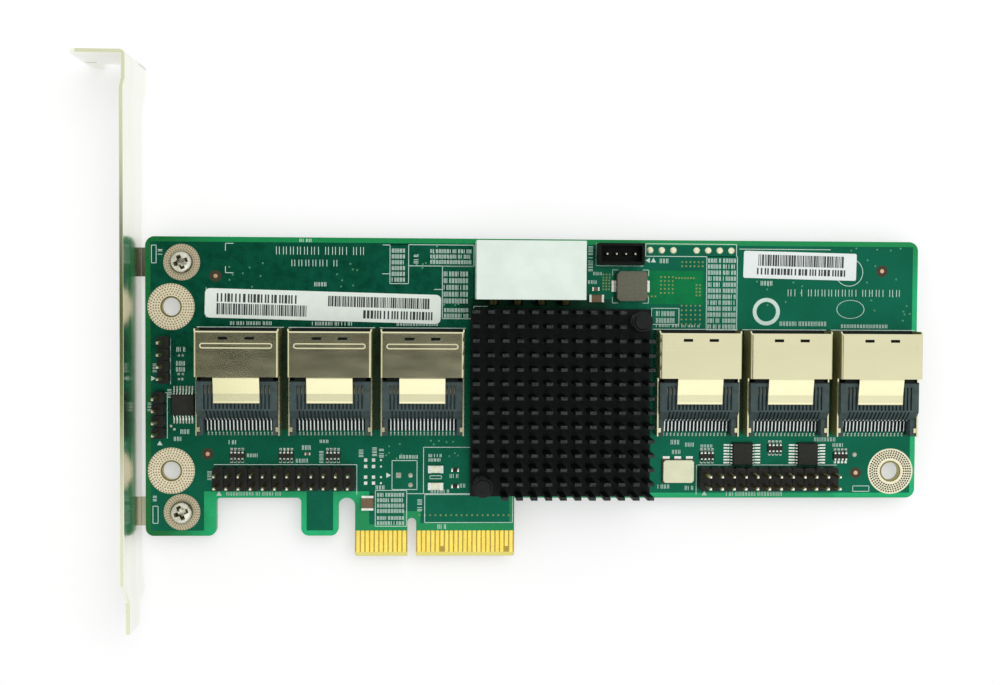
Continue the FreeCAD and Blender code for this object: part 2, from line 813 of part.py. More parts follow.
def inductor_terminals():
    """Two angled straps: a foot on the board and a leg up the core's side."""
    half = terminal_thickness / 2
    side = inductor_size / 2
    line = [(side + terminal_reach, half), (side + half, half), (side + half, terminal_rise)]
    outline = thick_line(line, terminal_thickness)
    low = inductor_y - terminal_width / 2
    return Part.makeCompound([prism([(inductor_x + s * u, v) for u, v in outline], "y", low, terminal_width)
                              for s in (-1, 1)])


def oscillator_carrier():
    return pad(oscillator_x, oscillator_y, 0, oscillator_length, oscillator_width, oscillator_base)


def oscillator_can():
    length = oscillator_length - 2 * oscillator_lid_inset
    width = oscillator_width - 2 * oscillator_lid_inset
    can = pad(oscillator_x, oscillator_y, oscillator_base, length, width, oscillator_lid)
    corners = [(oscillator_x + s * length / 2, oscillator_y + t * width / 2)
               for s in (-1, 1) for t in (-1, 1)]
    return can.makeChamfer(oscillator_corner, upright_edges(can, corners))


# Resistor networks, capacitors, status lights and labels

def resistor_networks():
    return Part.makeCompound([pad(x, y, 0, network_length, network_width, network_height)
                              for x, y in network_places])


def capacitor_blocks():
    """Centre, length along X and Y, for the two large chip capacitors, with the way their ends face."""
    return [(supply_capacitor_x, supply_capacitor_y, capacitor_length, capacitor_width, "x"),
            (tab_capacitor_x, tab_capacitor_y, large_capacitor_width, capacitor_length, "y")]


def capacitor_bodies():
    bodies = []
    for x, y, length, width, ends in capacitor_blocks():
        dx = 2 * capacitor_cap if ends == "x" else 0
        dy = 2 * capacitor_cap if ends == "y" else 0
        bodies.append(pad(x, y, capacitor_skin, length - dx, width - dy, capacitor_height))
    return Part.makeCompound(bodies)


def capacitor_caps():
    caps = []
    for x, y, length, width, ends in capacitor_blocks():
        for s in (-1, 1):
            if ends == "x":
                place = (x + s * (length - capacitor_cap) / 2, y, 0)
                size = (capacitor_cap, width + 2 * capacitor_skin)
            else:
                place = (x, y + s * (width - capacitor_cap) / 2, 0)
                size = (length + 2 * capacitor_skin, capacitor_cap)
            caps.append(pad(*place, *size, capacitor_height + 2 * capacitor_skin))
    return Part.makeCompound(caps)


def status_lights():
    """Chip lights: a flat base with a smaller clear block on top."""
    lights = []
    for x, y in light_places:
        base = pad(x, y, 0, light_length, light_width, light_height)
        lights.append(base.fuse(pad(x, y, light_height, light_lens_length, light_width, light_lens_height)))
    return Part.makeCompound(lights)


def label(x, y, length, width, turn):
    sheet = pad(0, 0, 0, length, width, label_thickness)
    sheet.rotate(Vector(0, 0, 0), Vector(0, 0, 1), turn)
    sheet.translate(Vector(x, y, 0))
    return sheet


def all_parts():
    parts = {"circuit_board": circuit_board(), "edge_contacts": edge_contacts(), "bracket": bracket(),
             "bracket_screws": bracket_screws(), "expander_chip": expander_chip(),
             "thermal_pad": thermal_pad(), "heat_sink": heat_sink(), "push_pins": push_pins(),
             "power_housing": power_housing(), "power_pins": power_connector_pins(),
             "signal_housing": signal_housing(),
             "signal_pins": header_pins(signal_pins, signal_pin_size, signal_pin_top),
             "inductor_core": inductor_core(), "inductor_terminals": inductor_terminals(),
             "oscillator_carrier": oscillator_carrier(), "oscillator_can": oscillator_can(),
             "resistor_networks": resistor_networks(), "capacitor_bodies": capacitor_bodies(),
             "capacitor_caps": capacitor_caps(), "status_lights": status_lights()}
    for number, x in enumerate(port_centres, 1):
        parts[f"port_shell_{number}"] = port_shell(x)
        parts[f"port_housing_{number}"] = port_housing(x)
        parts[f"port_contacts_{number}"] = port_contacts(x)
    headers = (("drive_header_left", left_header_x, drive_header_y, drive_header_columns,
                drive_header_rows, left_header_pins),
               ("drive_header_right", right_header_x, drive_header_y, drive_header_columns,
                drive_header_rows, right_header_pins),
               ("side_header_upper", upper_side_x, upper_side_y, 1, side_header_pins, upper_side_pins),
               ("side_header_lower", lower_side_x, lower_side_y, 1, side_header_pins, lower_side_pins))
    for name, x, y, columns, rows, pins in headers:
        parts[f"{name}_housing"] = header_housing(x, y, columns, rows, pins)
        parts[f"{name}_pins"] = header_pins(pins, pin_size, pin_top)
    drivers = [(*left_driver, True)] + [(*place, False) for place in right_drivers]
    for number, (x, y, turned) in enumerate(drivers, 1):
        parts[f"driver_chip_{number}"] = driver_body(x, y, turned)
        parts[f"driver_leads_{number}"] = driver_leads(x, y, turned)
    parts["label_left"] = label(left_ports[1] - left_label_offset, port_mouth + left_label_gap,
                                left_label_length, left_label_width, left_label_turn)
    parts["label_right"] = label(right_ports[1] + right_label_offset, board_top - right_label_from_top,
                                 right_label_length, right_label_width, right_label_turn)
    return parts


os.makedirs("parts", exist_ok=True)
for node, shape in all_parts().items():
    shape.exportStep(f"parts/{node}.step")
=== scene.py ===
import random
from math import atan2, copysign, cos, hypot, pi, radians, remainder, sin

import bmesh
import bpy
from mathutils import Matrix, Vector
from mathutils.geometry import tessellate_polygon


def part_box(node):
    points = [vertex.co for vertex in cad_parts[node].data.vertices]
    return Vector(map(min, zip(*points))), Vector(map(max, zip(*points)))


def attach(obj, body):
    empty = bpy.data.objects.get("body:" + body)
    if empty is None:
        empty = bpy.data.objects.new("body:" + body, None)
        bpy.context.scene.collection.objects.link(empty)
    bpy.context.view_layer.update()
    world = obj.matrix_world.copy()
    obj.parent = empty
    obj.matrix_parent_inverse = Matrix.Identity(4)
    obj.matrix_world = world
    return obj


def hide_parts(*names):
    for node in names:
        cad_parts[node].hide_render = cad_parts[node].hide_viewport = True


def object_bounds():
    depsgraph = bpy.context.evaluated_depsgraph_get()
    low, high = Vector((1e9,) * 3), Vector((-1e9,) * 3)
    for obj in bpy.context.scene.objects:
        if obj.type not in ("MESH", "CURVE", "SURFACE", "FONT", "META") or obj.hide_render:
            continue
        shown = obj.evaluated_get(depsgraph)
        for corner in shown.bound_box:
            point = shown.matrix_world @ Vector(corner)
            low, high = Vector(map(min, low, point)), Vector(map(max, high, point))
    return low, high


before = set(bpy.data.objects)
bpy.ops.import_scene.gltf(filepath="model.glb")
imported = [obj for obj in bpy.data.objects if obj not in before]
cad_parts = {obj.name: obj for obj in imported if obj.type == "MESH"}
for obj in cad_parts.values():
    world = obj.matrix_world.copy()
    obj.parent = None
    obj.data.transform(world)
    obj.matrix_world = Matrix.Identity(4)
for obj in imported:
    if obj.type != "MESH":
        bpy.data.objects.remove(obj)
cad_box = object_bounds()
scene = bpy.context.scene

MM = 0.001
CORNERS = ((-1, -1), (1, -1), (1, 1), (-1, 1))
BEVEL_ANGLE, SMOOTH_ANGLE = 40, 26
AXES = {"x": lambda t, u, v: (t, u, v), "y": lambda t, u, v: (u, t, v), "z": lambda t, u, v: (u, v, t)}

# Heights above the board's faces, in millimetres
PLANE, VIA, PAD, SILK = 0.02, 0.03, 0.04, 0.05


def reach(node):
    """Lowest and highest corner of a CAD node, in millimetres."""
    return [[v / MM for v in corner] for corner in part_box(node)]


def middle(node):
    low, high = reach(node)
    return (low[0] + high[0]) / 2, (low[1] + high[1]) / 2


# Places on the card in millimetres, read from the frame where a node has them
(BOARD_LEFT, _, BACK), (_, BOARD_TOP, _) = reach("circuit_board")
FACES = ((0, 1), (BACK, -1))
PORTS = [middle(f"port_shell_{n}")[0] for n in range(1, 7)]
(port_left, PORT_REAR, _), (port_right, PORT_MOUTH, PORT_TOP) = reach("port_shell_1")
(housing_left, _, _), (housing_right, _, HOUSING_TOP) = reach("port_housing_1")
PORT_HALF, HOUSING_HALF = (port_right - port_left) / 2, (housing_right - housing_left) / 2
(SINK_LEFT, SINK_LOW, _), (SINK_RIGHT, SINK_HIGH, SINK_TOP) = reach("heat_sink")
PUSH_PIN_INSET = 2.6
PUSH_PINS = ((SINK_LEFT + PUSH_PIN_INSET, SINK_LOW + PUSH_PIN_INSET),
             (SINK_RIGHT - PUSH_PIN_INSET, SINK_HIGH - PUSH_PIN_INSET))
SCREW_HEAD, SCREW_PAD, SCREW_BORE = 2.45, 3.9, 1.6
(_, screw_low, SCREW_FOOT), (_, screw_high, _) = reach("bracket_screws")
SCREW_X, SCREW_Y = middle("bracket_screws")[0], (screw_low + SCREW_HEAD, screw_high - SCREW_HEAD)
HOLES = ((-51.65, 18.55), (-51.65, 53.84), (105.07, 18.55))
NETWORKS = ((-37.6, 21.9), (-27.1, 21.9), (-17.05, 21.9), (64.37, 21.9), (79.37, 23.65), (93.92, 21.9))
BLOCK_FRONT, BLOCK_REAR = 38.4, 30.2
TAB_LEFT, TAB_RIGHT, TAB_TOP, TAB_CUT = -12.2, 22.2, 12.0, 0.45
BEVEL_HEIGHT, BEVEL_DEPTH = 0.8, 0.3


class Form:
    """Points in millimetres and faces, gathered for one mesh."""

    def __init__(self):
        self.points, self.faces = [], []

    def add(self, points, faces):
        first = len(self.points)
        self.points.extend(points)
        self.faces.extend([first + i for i in face] for face in faces)
        return self

    def skin(self, rings):
        """Walls between rings of equal count, with both ends closed."""
        n = len(rings[0])
        faces = [list(range(n)), [(len(rings) - 1) * n + i for i in range(n)]]
        for r in range(len(rings) - 1):
            for i in range(n):
                j = (i + 1) % n
                faces.append([r * n + i, r * n + j, (r + 1) * n + j, (r + 1) * n + i])
        return self.add([p for ring in rings for p in ring], faces)

    def prism(self, outline, axis, low, high):
        place = AXES[axis]
        return self.skin([[place(t, u, v) for u, v in outline] for t in (low, high)])

    def box(self, x0, x1, y0, y1, z0, z1):
        return self.prism(rect(x0, y0, x1, y1), "z", z0, z1)

    def pad(self, x, y, length, width, z0, z1):
        return self.box(x - length / 2, x + length / 2, y - width / 2, y + width / 2, z0, z1)

    def turned(self, u, v, profile, sides=24, axis="z"):
        """Turn a profile of (radius, height) about an axis through (u, v)."""
        place = AXES[axis]
        turns = [2 * pi * i / sides for i in range(sides)]
        return self.skin([[place(t, u + r * cos(a), v + r * sin(a)) for a in turns]
                          for r, t in profile])

    def disc(self, x, y, radius, z0, z1, sides=12):
        return self.turned(x, y, [(radius, z0), (radius, z1)], sides)

    def washer(self, x, y, inner, outer, z0, z1, sides=48):
        return self.sheet([round_outline(x, y, outer, sides), round_outline(x, y, inner, sides)], z0, z1)

    def sheet(self, loops, z0, z1):
        """A flat plate; the loops after the first are its holes."""
        corners = [p for loop in loops for p in loop]
        n = len(corners)
        flat = [[Vector((x, y, 0)) for x, y in loop] for loop in loops]
        triangles = [list(t) for t in tessellate_polygon(flat)]
        faces = triangles + [[n + i for i in t] for t in triangles]
        start = 0
        for loop in loops:
            for i in range(len(loop)):
                a, b = start + i, start + (i + 1) % len(loop)
                faces.append([a, b, n + b, n + a])
            start += len(loop)
        return self.add([(x, y, z0) for x, y in corners] + [(x, y, z1) for x, y in corners], faces)

    def tube(self, path, radius, sides=8):
        """A round wire along a path of points."""
        points = [Vector(p) for p in path]
        side = Vector((0, 0, 1))
        rings = []
        for i, point in enumerate(points):
            along = (points[min(i + 1, len(points) - 1)] - points[max(i - 1, 0)]).normalized()
            u = along.cross(side).normalized()
            v = along.cross(u)
            rings.append([tuple(point + radius * (u * cos(a) + v * sin(a)))
                          for a in (2 * pi * k / sides for k in range(sides))])
        return self.skin(rings)

    def strip(self, line, axis, low, high, thickness):
        """A bent strip: a line of points in the other two axes, made thick, and as wide as low to high."""
        return self.prism(thick_line(line, thickness), axis, low, high)

    def mesh(self, name, bevel=0.0):
        data = bpy.data.meshes.new(name)
        data.from_pydata([(x * MM, y * MM, z * MM) for x, y, z in self.points], [], self.faces)
        return finished(data, bevel)


def round_outline(x, y, radius, sides=32):
    return [(x + radius * cos(2 * pi * i / sides), y + radius * sin(2 * pi * i / sides))
            for i in range(sides)]


def arc(x, y, radius, start, end, steps):
    """Points along an arc from one angle to another, in degrees."""
    turns = [radians(start + (end - start) * i / steps) for i in range(steps + 1)]
    return [(x + radius * cos(a), y + radius * sin(a)) for a in turns]


def rect(x0, y0, x1, y1):
    return [(x0, y0), (x1, y0), (x1, y1), (x0, y1)]


def thick_line(points, thickness):
    """Outline of a line made thick, mitred at its bends."""
    left, right = [], []
    for i, (u, v) in enumerate(points):
        before, after = points[max(i - 1, 0)], points[min(i + 1, len(points) - 1)]
        first = atan2(v - before[1], u - before[0]) if i else atan2(after[1] - v, after[0] - u)
        last = atan2(after[1] - v, after[0] - u) if i < len(points) - 1 else first
        turn = remainder(last - first, 2 * pi)
        offset = thickness / 2 / max(cos(turn / 2), 0.3)
        heading = first + turn / 2
        left.append((u - offset * sin(heading), v + offset * cos(heading)))
        right.append((u + offset * sin(heading), v - offset * cos(heading)))
    return left + right[::-1]


def finished(data, bevel=0.0, bevel_angle=BEVEL_ANGLE, smooth_angle=SMOOTH_ANGLE):
    """Outward faces, small rounds on sharp edges, and smooth shading across gentle ones."""
    work = bmesh.new()
    work.from_mesh(data)
    bmesh.ops.recalc_face_normals(work, faces=work.faces)
    if bevel:
        sharp = [e for e in work.edges if e.calc_face_angle(0) > radians(bevel_angle)]
        bmesh.ops.bevel(work, geom=sharp, offset=bevel * MM, segments=2, profile=0.6, affect="EDGES",
                        clamp_overlap=True)
    work.to_mesh(data)
    work.free()
    data.shade_smooth()
    data.set_sharp_from_angle(angle=radians(smooth_angle))
    return data


def carved(form, steps, bevel=0.0, bevel_angle=BEVEL_ANGLE, smooth_angle=SMOOTH_ANGLE):
    """The mesh left after cutting, joining or trimming a form by others."""
    body = bpy.data.objects.new("carving", form.mesh("carving"))
    scene.collection.objects.link(body)
    tools = []
    for operation, other in steps:
        tool = bpy.data.objects.new("tool", other.mesh("tool"))
        scene.collection.objects.link(tool)
        step = body.modifiers.new("step", "BOOLEAN")
        step.operation, step.object, step.solver, step.use_self = operation, tool, "EXACT", True
        tools.append(tool)
    result = bpy.data.meshes.new_from_object(body.evaluated_get(bpy.context.evaluated_depsgraph_get()))
    for used in tools + [body]:
        bpy.data.objects.remove(used)
    work = bmesh.new()
    work.from_mesh(result)
    bmesh.ops.remove_doubles(work, verts=work.verts, dist=1e-7)
    bmesh.ops.dissolve_limit(work, angle_limit=radians(1), verts=work.verts, edges=work.edges)
    work.to_mesh(result)
    work.free()
    return finished(result, bevel, bevel_angle, smooth_angle)


def piece(name, form, look, replaces=(), bevel=0.0, at=(0, 0, 0)):
    """Add a piece to the object, riding on its one body."""
    data = form if isinstance(form, bpy.types.Mesh) else form.mesh(name, bevel)
    if not data.materials:
        data.materials.append(look)
    thing = bpy.data.objects.new(name, data)
    thing.location = [v * MM for v in at]
    scene.collection.objects.link(thing)
    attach(thing, "root")
    if replaces:
        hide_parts(*replaces)
    return thing


def dress(node, look, bevel=0.0):
    """Give a CAD node its material and, where asked, slightly rounded edges."""
    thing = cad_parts[node]
    thing.data.materials.clear()
    thing.data.materials.append(look)
    if bevel:
        weld = thing.modifiers.new("weld", "WELD")
        weld.merge_threshold = 1e-6
        edge = thing.modifiers.new("edges", "BEVEL")
        edge.width, edge.segments, edge.limit_method = bevel * MM, 2, "ANGLE"
        edge.angle_limit = radians(BEVEL_ANGLE)


# Materials

NOISE_DETAIL = 3.0


def put(node, inputs):
    """Set a node's inputs, each to a plain value or to another node's socket."""
    for key, value in inputs.items():
        if isinstance(value, bpy.types.NodeSocket):
            node.id_data.links.new(value, node.inputs[key])
        else:
            node.inputs[key].default_value = value
    return node


def added(tree, kind, inputs):
    return put(tree.nodes.new("ShaderNode" + kind), inputs)


def start_look(name):
    look = bpy.data.materials.new(name)
    look.use_nodes = True
    return look, look.node_tree.nodes["Principled BSDF"]


def noise(look, size, stretch=(1, 1, 1)):
    """Noise in the object's own space; its grain is size millimetres."""
    place = added(look.node_tree, "TexCoord", {}).outputs["Object"]
    place = added(look.node_tree, "Mapping", {"Vector": place, "Scale": stretch}).outputs["Vector"]
    settings = {"Vector": place, "Scale": 1 / (size * MM), "Detail": NOISE_DETAIL}
    return added(look.node_tree, "TexNoise", settings).outputs[0]


def spread(value, low, high, to_low=0.0, to_high=1.0):
    """Map one range of a value to another, held at both ends."""
    ends = {"From Min": low, "From Max": high, "To Min": to_low, "To Max": to_high}
    return added(value.id_data, "MapRange", {"Value": value, **ends}).outputs["Result"]


def blend(factor, first, second):
    """Mix two colours, each a plain one or a socket."""
    node = factor.id_data.nodes.new("ShaderNodeMix")
    node.data_type = "RGBA"
    first, second = (c if isinstance(c, bpy.types.NodeSocket) else (*c, 1) for c in (first, second))
    return put(node, {"Factor": factor, 6: first, 7: second}).outputs[2]


def worked(operation, *values):
    """What a piece of arithmetic makes of its values."""
    node = values[0].id_data.nodes.new("ShaderNodeMath")
    node.operation = operation
    return put(node, dict(enumerate(values))).outputs[0]


def both(first, second):
    return worked("MULTIPLY", first, second)


def facing(look, axis):
    """How squarely a face looks along an axis, either way."""
    normal = added(look.node_tree, "NewGeometry", {}).outputs["Normal"]
    return worked("ABSOLUTE", added(look.node_tree, "SeparateXYZ", {"Vector": normal}).outputs[axis])


def ramp(look, axis, low, high):
    """0 to 1 from one place to another along an axis of the object, in millimetres."""
    place = added(look.node_tree, "TexCoord", {}).outputs["Object"]
    value = added(look.node_tree, "SeparateXYZ", {"Vector": place}).outputs[axis]
    return spread(value, low * MM, high * MM)


def within(look, axis, low, high, soft=0.3):
    """1 between two places along an axis, in millimetres, else 0."""
    return both(ramp(look, axis, low - soft, low), ramp(look, axis, high + soft, high))


def surface(name, colour, rough, metal=0.0, vary=0.12, patch=3.0, gloss_patch=None, rough_vary=0.06,
            grain=0.2, bump=0.15, depth=0.02, stretch=(1, 1, 1), coat=0.0, gleam=0.5):
    """Uneven colour, uneven gloss and a fine grain; a pair of colours is the darkest and the lightest."""
    look, shader = start_look(name)
    if isinstance(colour[0], tuple):
        dark, light = colour
    else:
        dark, light = [c * (1 - vary) for c in colour], [min(1.0, c * (1 + vary)) for c in colour]
    tint = blend(spread(noise(look, patch, stretch), 0.35, 0.65), dark, light)
    shine = noise(look, gloss_patch or patch / 3, stretch)
    gloss = spread(shine, 0.3, 0.7, max(rough - rough_vary, 0.02), rough + rough_vary)
    fine = {"Height": noise(look, grain, stretch), "Strength": bump, "Distance": depth * MM}
    normal = added(look.node_tree, "Bump", fine).outputs["Normal"]
    put(shader, {"Base Color": tint, "Roughness": gloss, "Metallic": metal, "Coat Weight": coat,
                 "Specular IOR Level": gleam, "Normal": normal})
    return look


def retint(look, factor, colour, metal=None, rough=None):
    """Blend a look's colour, and its metal and roughness if asked, to others where the factor is 1."""
    shader = look.node_tree.nodes["Principled BSDF"]
    plain = shader.inputs["Base Color"].links[0].from_socket
    changes = {"Base Color": blend(factor, plain, colour)}
    if metal is not None:
        changes["Metallic"] = spread(factor, 0, 1, shader.inputs["Metallic"].default_value, metal)
    if rough is not None:
        plain = shader.inputs["Roughness"].links[0].from_socket
        mix = added(look.node_tree, "Mix", {"Factor": factor, 2: plain, 3: rough})
        changes["Roughness"] = mix.outputs[0]
    put(shader, changes)
    return look


def laminate():
    """Green resist, with painted shade making it darker along the top, the left side and the tab; bare
    laminate on the edges.
    """
    resist = ((0.004, 0.45, 0.16), (0.008, 0.53, 0.20))
    look = surface("board_green", resist, 0.30, patch=5.0, gloss_patch=1.5, grain=0.3, bump=0.12, depth=0.01,
                   gleam=0.25)
    # Painted shade: the resist is tinted darker near the top edge, on the tab and towards the left side.
    retint(look, ramp(look, "Y", BOARD_TOP - 12.9, BOARD_TOP - 1.9), (0.004, 0.28, 0.078))
    below_board = ramp(look, "Y", TAB_TOP + 1.5, TAB_TOP - 1.5)
    tab = both(ramp(look, "X", TAB_LEFT - 2.3, TAB_LEFT - 0.3), below_board)
    retint(look, tab, (0.005, 0.30, 0.098))
    retint(look, ramp(look, "X", BOARD_LEFT + 16.15, BOARD_LEFT + 4.15), (0.003, 0.165, 0.036))
    fibres = spread(noise(look, 0.25, (1, 1, 6)), 0.4, 0.6)
    weave = blend(fibres, (0.05, 0.16, 0.06), (0.14, 0.26, 0.10))
    return retint(look, spread(facing(look, "Z"), 0.8, 0.5), weave)


def resist_over_copper():
    """Dark green resist over copper, whose gloss still shows; painted shade makes it nearly black in the
    narrow gaps in front.
    """
    resist = ((0.002, 0.115, 0.060), (0.003, 0.135, 0.074))
    look = surface("resist_over_copper", resist, 0.28, 0.75, patch=9.0, gloss_patch=2.0, grain=0.4, bump=0.1,
                   depth=0.008, gleam=0.3)
    front = ramp(look, "Z", BACK, 0)
    power_left, power_rear, _ = reach("power_housing")[0]
    # Painted shade: nearly black between the ports, and between the power connector and the heat sink.
    port_gap_shade, rear_gap_shade = (0.030, 0.055, 0.028), (0.004, 0.040, 0.020)
    for first, last, soft, low, high, colour in (
            (PORTS[0], PORTS[2], 0.3, PORT_REAR + 1, PORT_MOUTH, port_gap_shade),
            (PORTS[3], PORTS[5], 0.3, PORT_REAR + 1, PORT_MOUTH, port_gap_shade),
            (power_left, SINK_RIGHT - 10, 5.0, SINK_HIGH, power_rear, rear_gap_shade)):
        gap = both(within(look, "X", first, last, soft), within(look, "Y", low, high))
        retint(look, both(front, gap), colour)
    return look


def black_sink():
    """Black anodised metal; the pins' tops are painted an uneven lighter grey, a painted highlight."""
    look = surface("black_anodised", ((0.003, 0.0045, 0.0045), (0.0055, 0.0075, 0.0075)), 0.45, patch=2.0,
                   gloss_patch=0.8, rough_vary=0.07, grain=0.12, bump=0.2, depth=0.01, gleam=0.17)
    # Painted highlight: the pins' tops are tinted grey.
    highlight_mottle = spread(noise(look, 0.4), 0.4, 0.65)
    top_highlight = blend(highlight_mottle, (0.014, 0.018, 0.018), (0.048, 0.054, 0.054))
    return retint(look, ramp(look, "Z", SINK_TOP - 0.15, SINK_TOP - 0.04), top_highlight)


def pin_gold(name, top):
    """Gold pins: dark up the sides as painted shade, near white at the tips as a painted highlight."""
    look = surface(name, (0.40, 0.31, 0.12), 0.3, 1.0, vary=0.10, patch=0.8)
    # Painted highlight: near white at the tips.
    return retint(look, ramp(look, "Z", top - 0.9, top - 0.4), (1.0, 0.96, 0.76))


def power_tin():
    """Tinned pins, whose tails get painted shade that makes them nearly black."""
    look = surface("power_tin", (0.72, 0.70, 0.56), 0.28, 1.0, vary=0.10, patch=0.8)
    rear = reach("power_pins")[0][1]
    # Painted shade: the tails at the pins' rear are tinted nearly black.
    return retint(look, ramp(look, "Y", rear + 1.6, rear + 1.3), (0.035, 0.032, 0.012))


def plated_bracket():
    """Bright nickel plate, with painted shade on the tabs behind the board, and a painted yellow-green
    reflection on the sheared edges beside it.
    """
    look = surface("bracket_nickel", (0.87, 0.875, 0.80), 0.17, 1.0, vary=0.04, patch=9.0, grain=0.5,
                   bump=0.05, stretch=(1, 0.12, 1))
    level = facing(look, "Z")
    past_plate = ramp(look, "X", BOARD_LEFT - 1.22, BOARD_LEFT - 1.12)
    below_top = ramp(look, "Y", BOARD_TOP + 3, BOARD_TOP + 2)
    tabs = both(both(past_plate, below_top), spread(level, 0.15, 0.5))
    edges = both(ramp(look, "Z", 4, 5), spread(level, 0.5, 0.8))
    board_reflection_band = within(look, "Y", BOARD_TOP / 2, BOARD_TOP - 11, soft=14)
    # Painted shade: the tabs behind the board are tinted darker.
    retint(look, tabs, (0.36, 0.35, 0.25))
    retint(look, edges, (0.92, 0.95, 0.82), rough=0.2)
    # Painted reflection: the sheared edges beside the board are tinted yellow-green.
    return retint(look, both(edges, board_reflection_band), (0.76, 0.88, 0.42))


def zinc_with_recess_shade():
    """Zinc plate, with painted shade on the steep sides of the cross and of the head's rim."""
    look = surface("screw_zinc", (0.66, 0.66, 0.56), 0.26, 1.0, patch=0.8)
    steep = spread(facing(look, "Z"), 0.95, 0.85)
    # Painted shade in the cross and round the head's rim.
    return retint(look, both(ramp(look, "Z", 1.5, 1.0), steep), (0.22, 0.20, 0.13))


def ground_finish():
    """Cream plating of the pads, darker round the bracket screws."""
    look = surface("pad_finish", (0.88, 0.83, 0.60), 0.42, 0.5, vary=0.08, patch=0.7)
    half = SCREW_PAD + 0.1
    for y in SCREW_Y:
        across = within(look, "X", SCREW_X - half, SCREW_X + half)
        retint(look, both(across, within(look, "Y", y - half, y + half)), (0.62, 0.58, 0.40))
    return look


def via_mouths():
    """Vias of the ground pads: coppery by the bracket, dark at the card's other end."""
    look = surface("pad_via", (0.30, 0.125, 0.07), 0.5, 0.2, vary=0.2, patch=0.4)
    return retint(look, ramp(look, "X", -0.3, 0), (0.025, 0.023, 0.010))


def plated_shell():
    """Satin nickel plate on the ports' roofs and tongues; painted shade makes their side walls a darker olive
    and less metallic.
    """
    look = surface("port_nickel", (0.74, 0.71, 0.46), 0.2, 1.0, vary=0.02, patch=6.0, rough_vary=0.02,
                   grain=0.6, bump=0.02, stretch=(0.3, 1, 1))
    walls = spread(facing(look, "X"), 0.6, 0.85)
    # Painted shade: side walls tinted olive and made less metallic.
    return retint(look, walls, (0.42, 0.40, 0.17), metal=0.35)


def moulded_port():
    """Dark blue-grey moulding, with painted shade making it nearly black inside the mouth and under the legs.
    """
    look = surface("port_plastic", (0.054, 0.084, 0.083), 0.48, vary=0.15, patch=1.5, grain=0.12, gleam=0.2)
    # Painted shade: nearly black inside the mouth.
    retint(look, ramp(look, "Y", BLOCK_FRONT - 0.3, BLOCK_FRONT - 0.1), (0.004, 0.008, 0.006))
    # Painted shade: nearly black low down behind the block, under the legs.
    behind_block = ramp(look, "Y", BLOCK_REAR + 0.6, BLOCK_REAR - 0.2)
    return retint(look, both(ramp(look, "Z", 0.7, 0.5), behind_block), (0.004, 0.006, 0.006))


def bare_fingers():
    """Laminate between the edge contacts, paler on the bevel below them."""
    look = surface("finger_laminate", (0.52, 0.36, 0.04), 0.4, vary=0.10, patch=0.6)
    bevel = ramp(look, "Y", BEVEL_HEIGHT + 0.15, BEVEL_HEIGHT + 0.05)
    return retint(look, bevel, (0.93, 0.82, 0.20))


board_green = laminate()
dark_green = resist_over_copper()
sink_black = black_sink()
gold = surface("gold_plate", (0.92, 0.70, 0.13), 0.24, 1.0, vary=0.08, patch=1.2, stretch=(1, 0.25, 1))
nickel = plated_bracket()
zinc = zinc_with_recess_shade()
shell_steel = plated_shell()
tin = surface("tin_plate", (0.80, 0.82, 0.76), 0.25, 1.0, vary=0.10, patch=0.5)
leg_tin = surface("leg_tin", (0.54, 0.60, 0.585), 0.28, 1.0, vary=0.08, patch=0.5)
tip_gold = surface("tip_gold", (0.20, 0.18, 0.11), 0.42, 1.0, vary=0.15, patch=0.5)
solder = surface("solder", (0.42, 0.43, 0.36), 0.34, 1.0, vary=0.15, patch=0.6)
white_nylon = surface("white_nylon", (0.84, 0.95, 0.86), 0.42, vary=0.04, patch=5.0, grain=0.15, bump=0.12)
header_plastic = surface("header_plastic", (0.010, 0.011, 0.009), 0.45, vary=0.25, patch=1.5, grain=0.12,
                         bump=0.2, gleam=0.25)
port_plastic = moulded_port()
pin_plastic = surface("push_pin_plastic", (0.008, 0.009, 0.009), 0.5, vary=0.2, patch=1.0, gleam=0.2)
signal_plastic = surface("signal_plastic", (0.004, 0.006, 0.0045), 0.45, vary=0.25, patch=1.5, grain=0.12,
                         bump=0.2, gleam=0.12)
spring_wire = surface("spring_wire", (0.13, 0.13, 0.125), 0.32, 1.0, vary=0.1, patch=0.6)
package = surface("package_epoxy", (0.016, 0.018, 0.013), 0.55, vary=0.2, patch=0.8, grain=0.06, bump=0.2,
                  gleam=0.3)
substrate = surface("chip_substrate", (0.03, 0.06, 0.03), 0.45, vary=0.2, patch=1.5)
soft_pad = surface("thermal_pad", (0.45, 0.46, 0.50), 0.7, vary=0.1, patch=1.0)
ferrite = surface("ferrite", (0.132, 0.132, 0.090), 0.6, patch=0.6, grain=0.08, bump=0.3)
ceramic = surface("carrier_ceramic", (0.075, 0.065, 0.035), 0.55, patch=0.8)
lid_metal = surface("oscillator_lid", (0.74, 0.75, 0.53), 0.34, 0.6, vary=0.03, patch=2.0, grain=0.3,
                    bump=0.04)
tan_ceramic = surface("capacitor_tan", (0.17, 0.105, 0.05), 0.45, vary=0.15, patch=0.5)
lens = surface("light_lens", (0.86, 0.87, 0.66), 0.25, vary=0.10, patch=0.6, coat=0.3)
paper = surface("label_paper", (0.91, 0.97, 0.95), 0.55, vary=0.02, patch=2.0, grain=0.08, bump=0.1)
mint_paper = surface("mint_paper", (0.90, 0.98, 0.90), 0.55, vary=0.02, patch=2.0, grain=0.08, bump=0.1)
ink = surface("label_ink", (0.025, 0.03, 0.03), 0.6, vary=0.3, patch=0.3)
silk = surface("white_silk", (0.72, 0.88, 0.80), 0.6, vary=0.08, patch=0.4)
pad_cream = ground_finish()
pad_dot = via_mouths()
via_tan = surface("via_ring", (0.24, 0.30, 0.10), 0.4, 0.4, vary=0.2, patch=0.4)
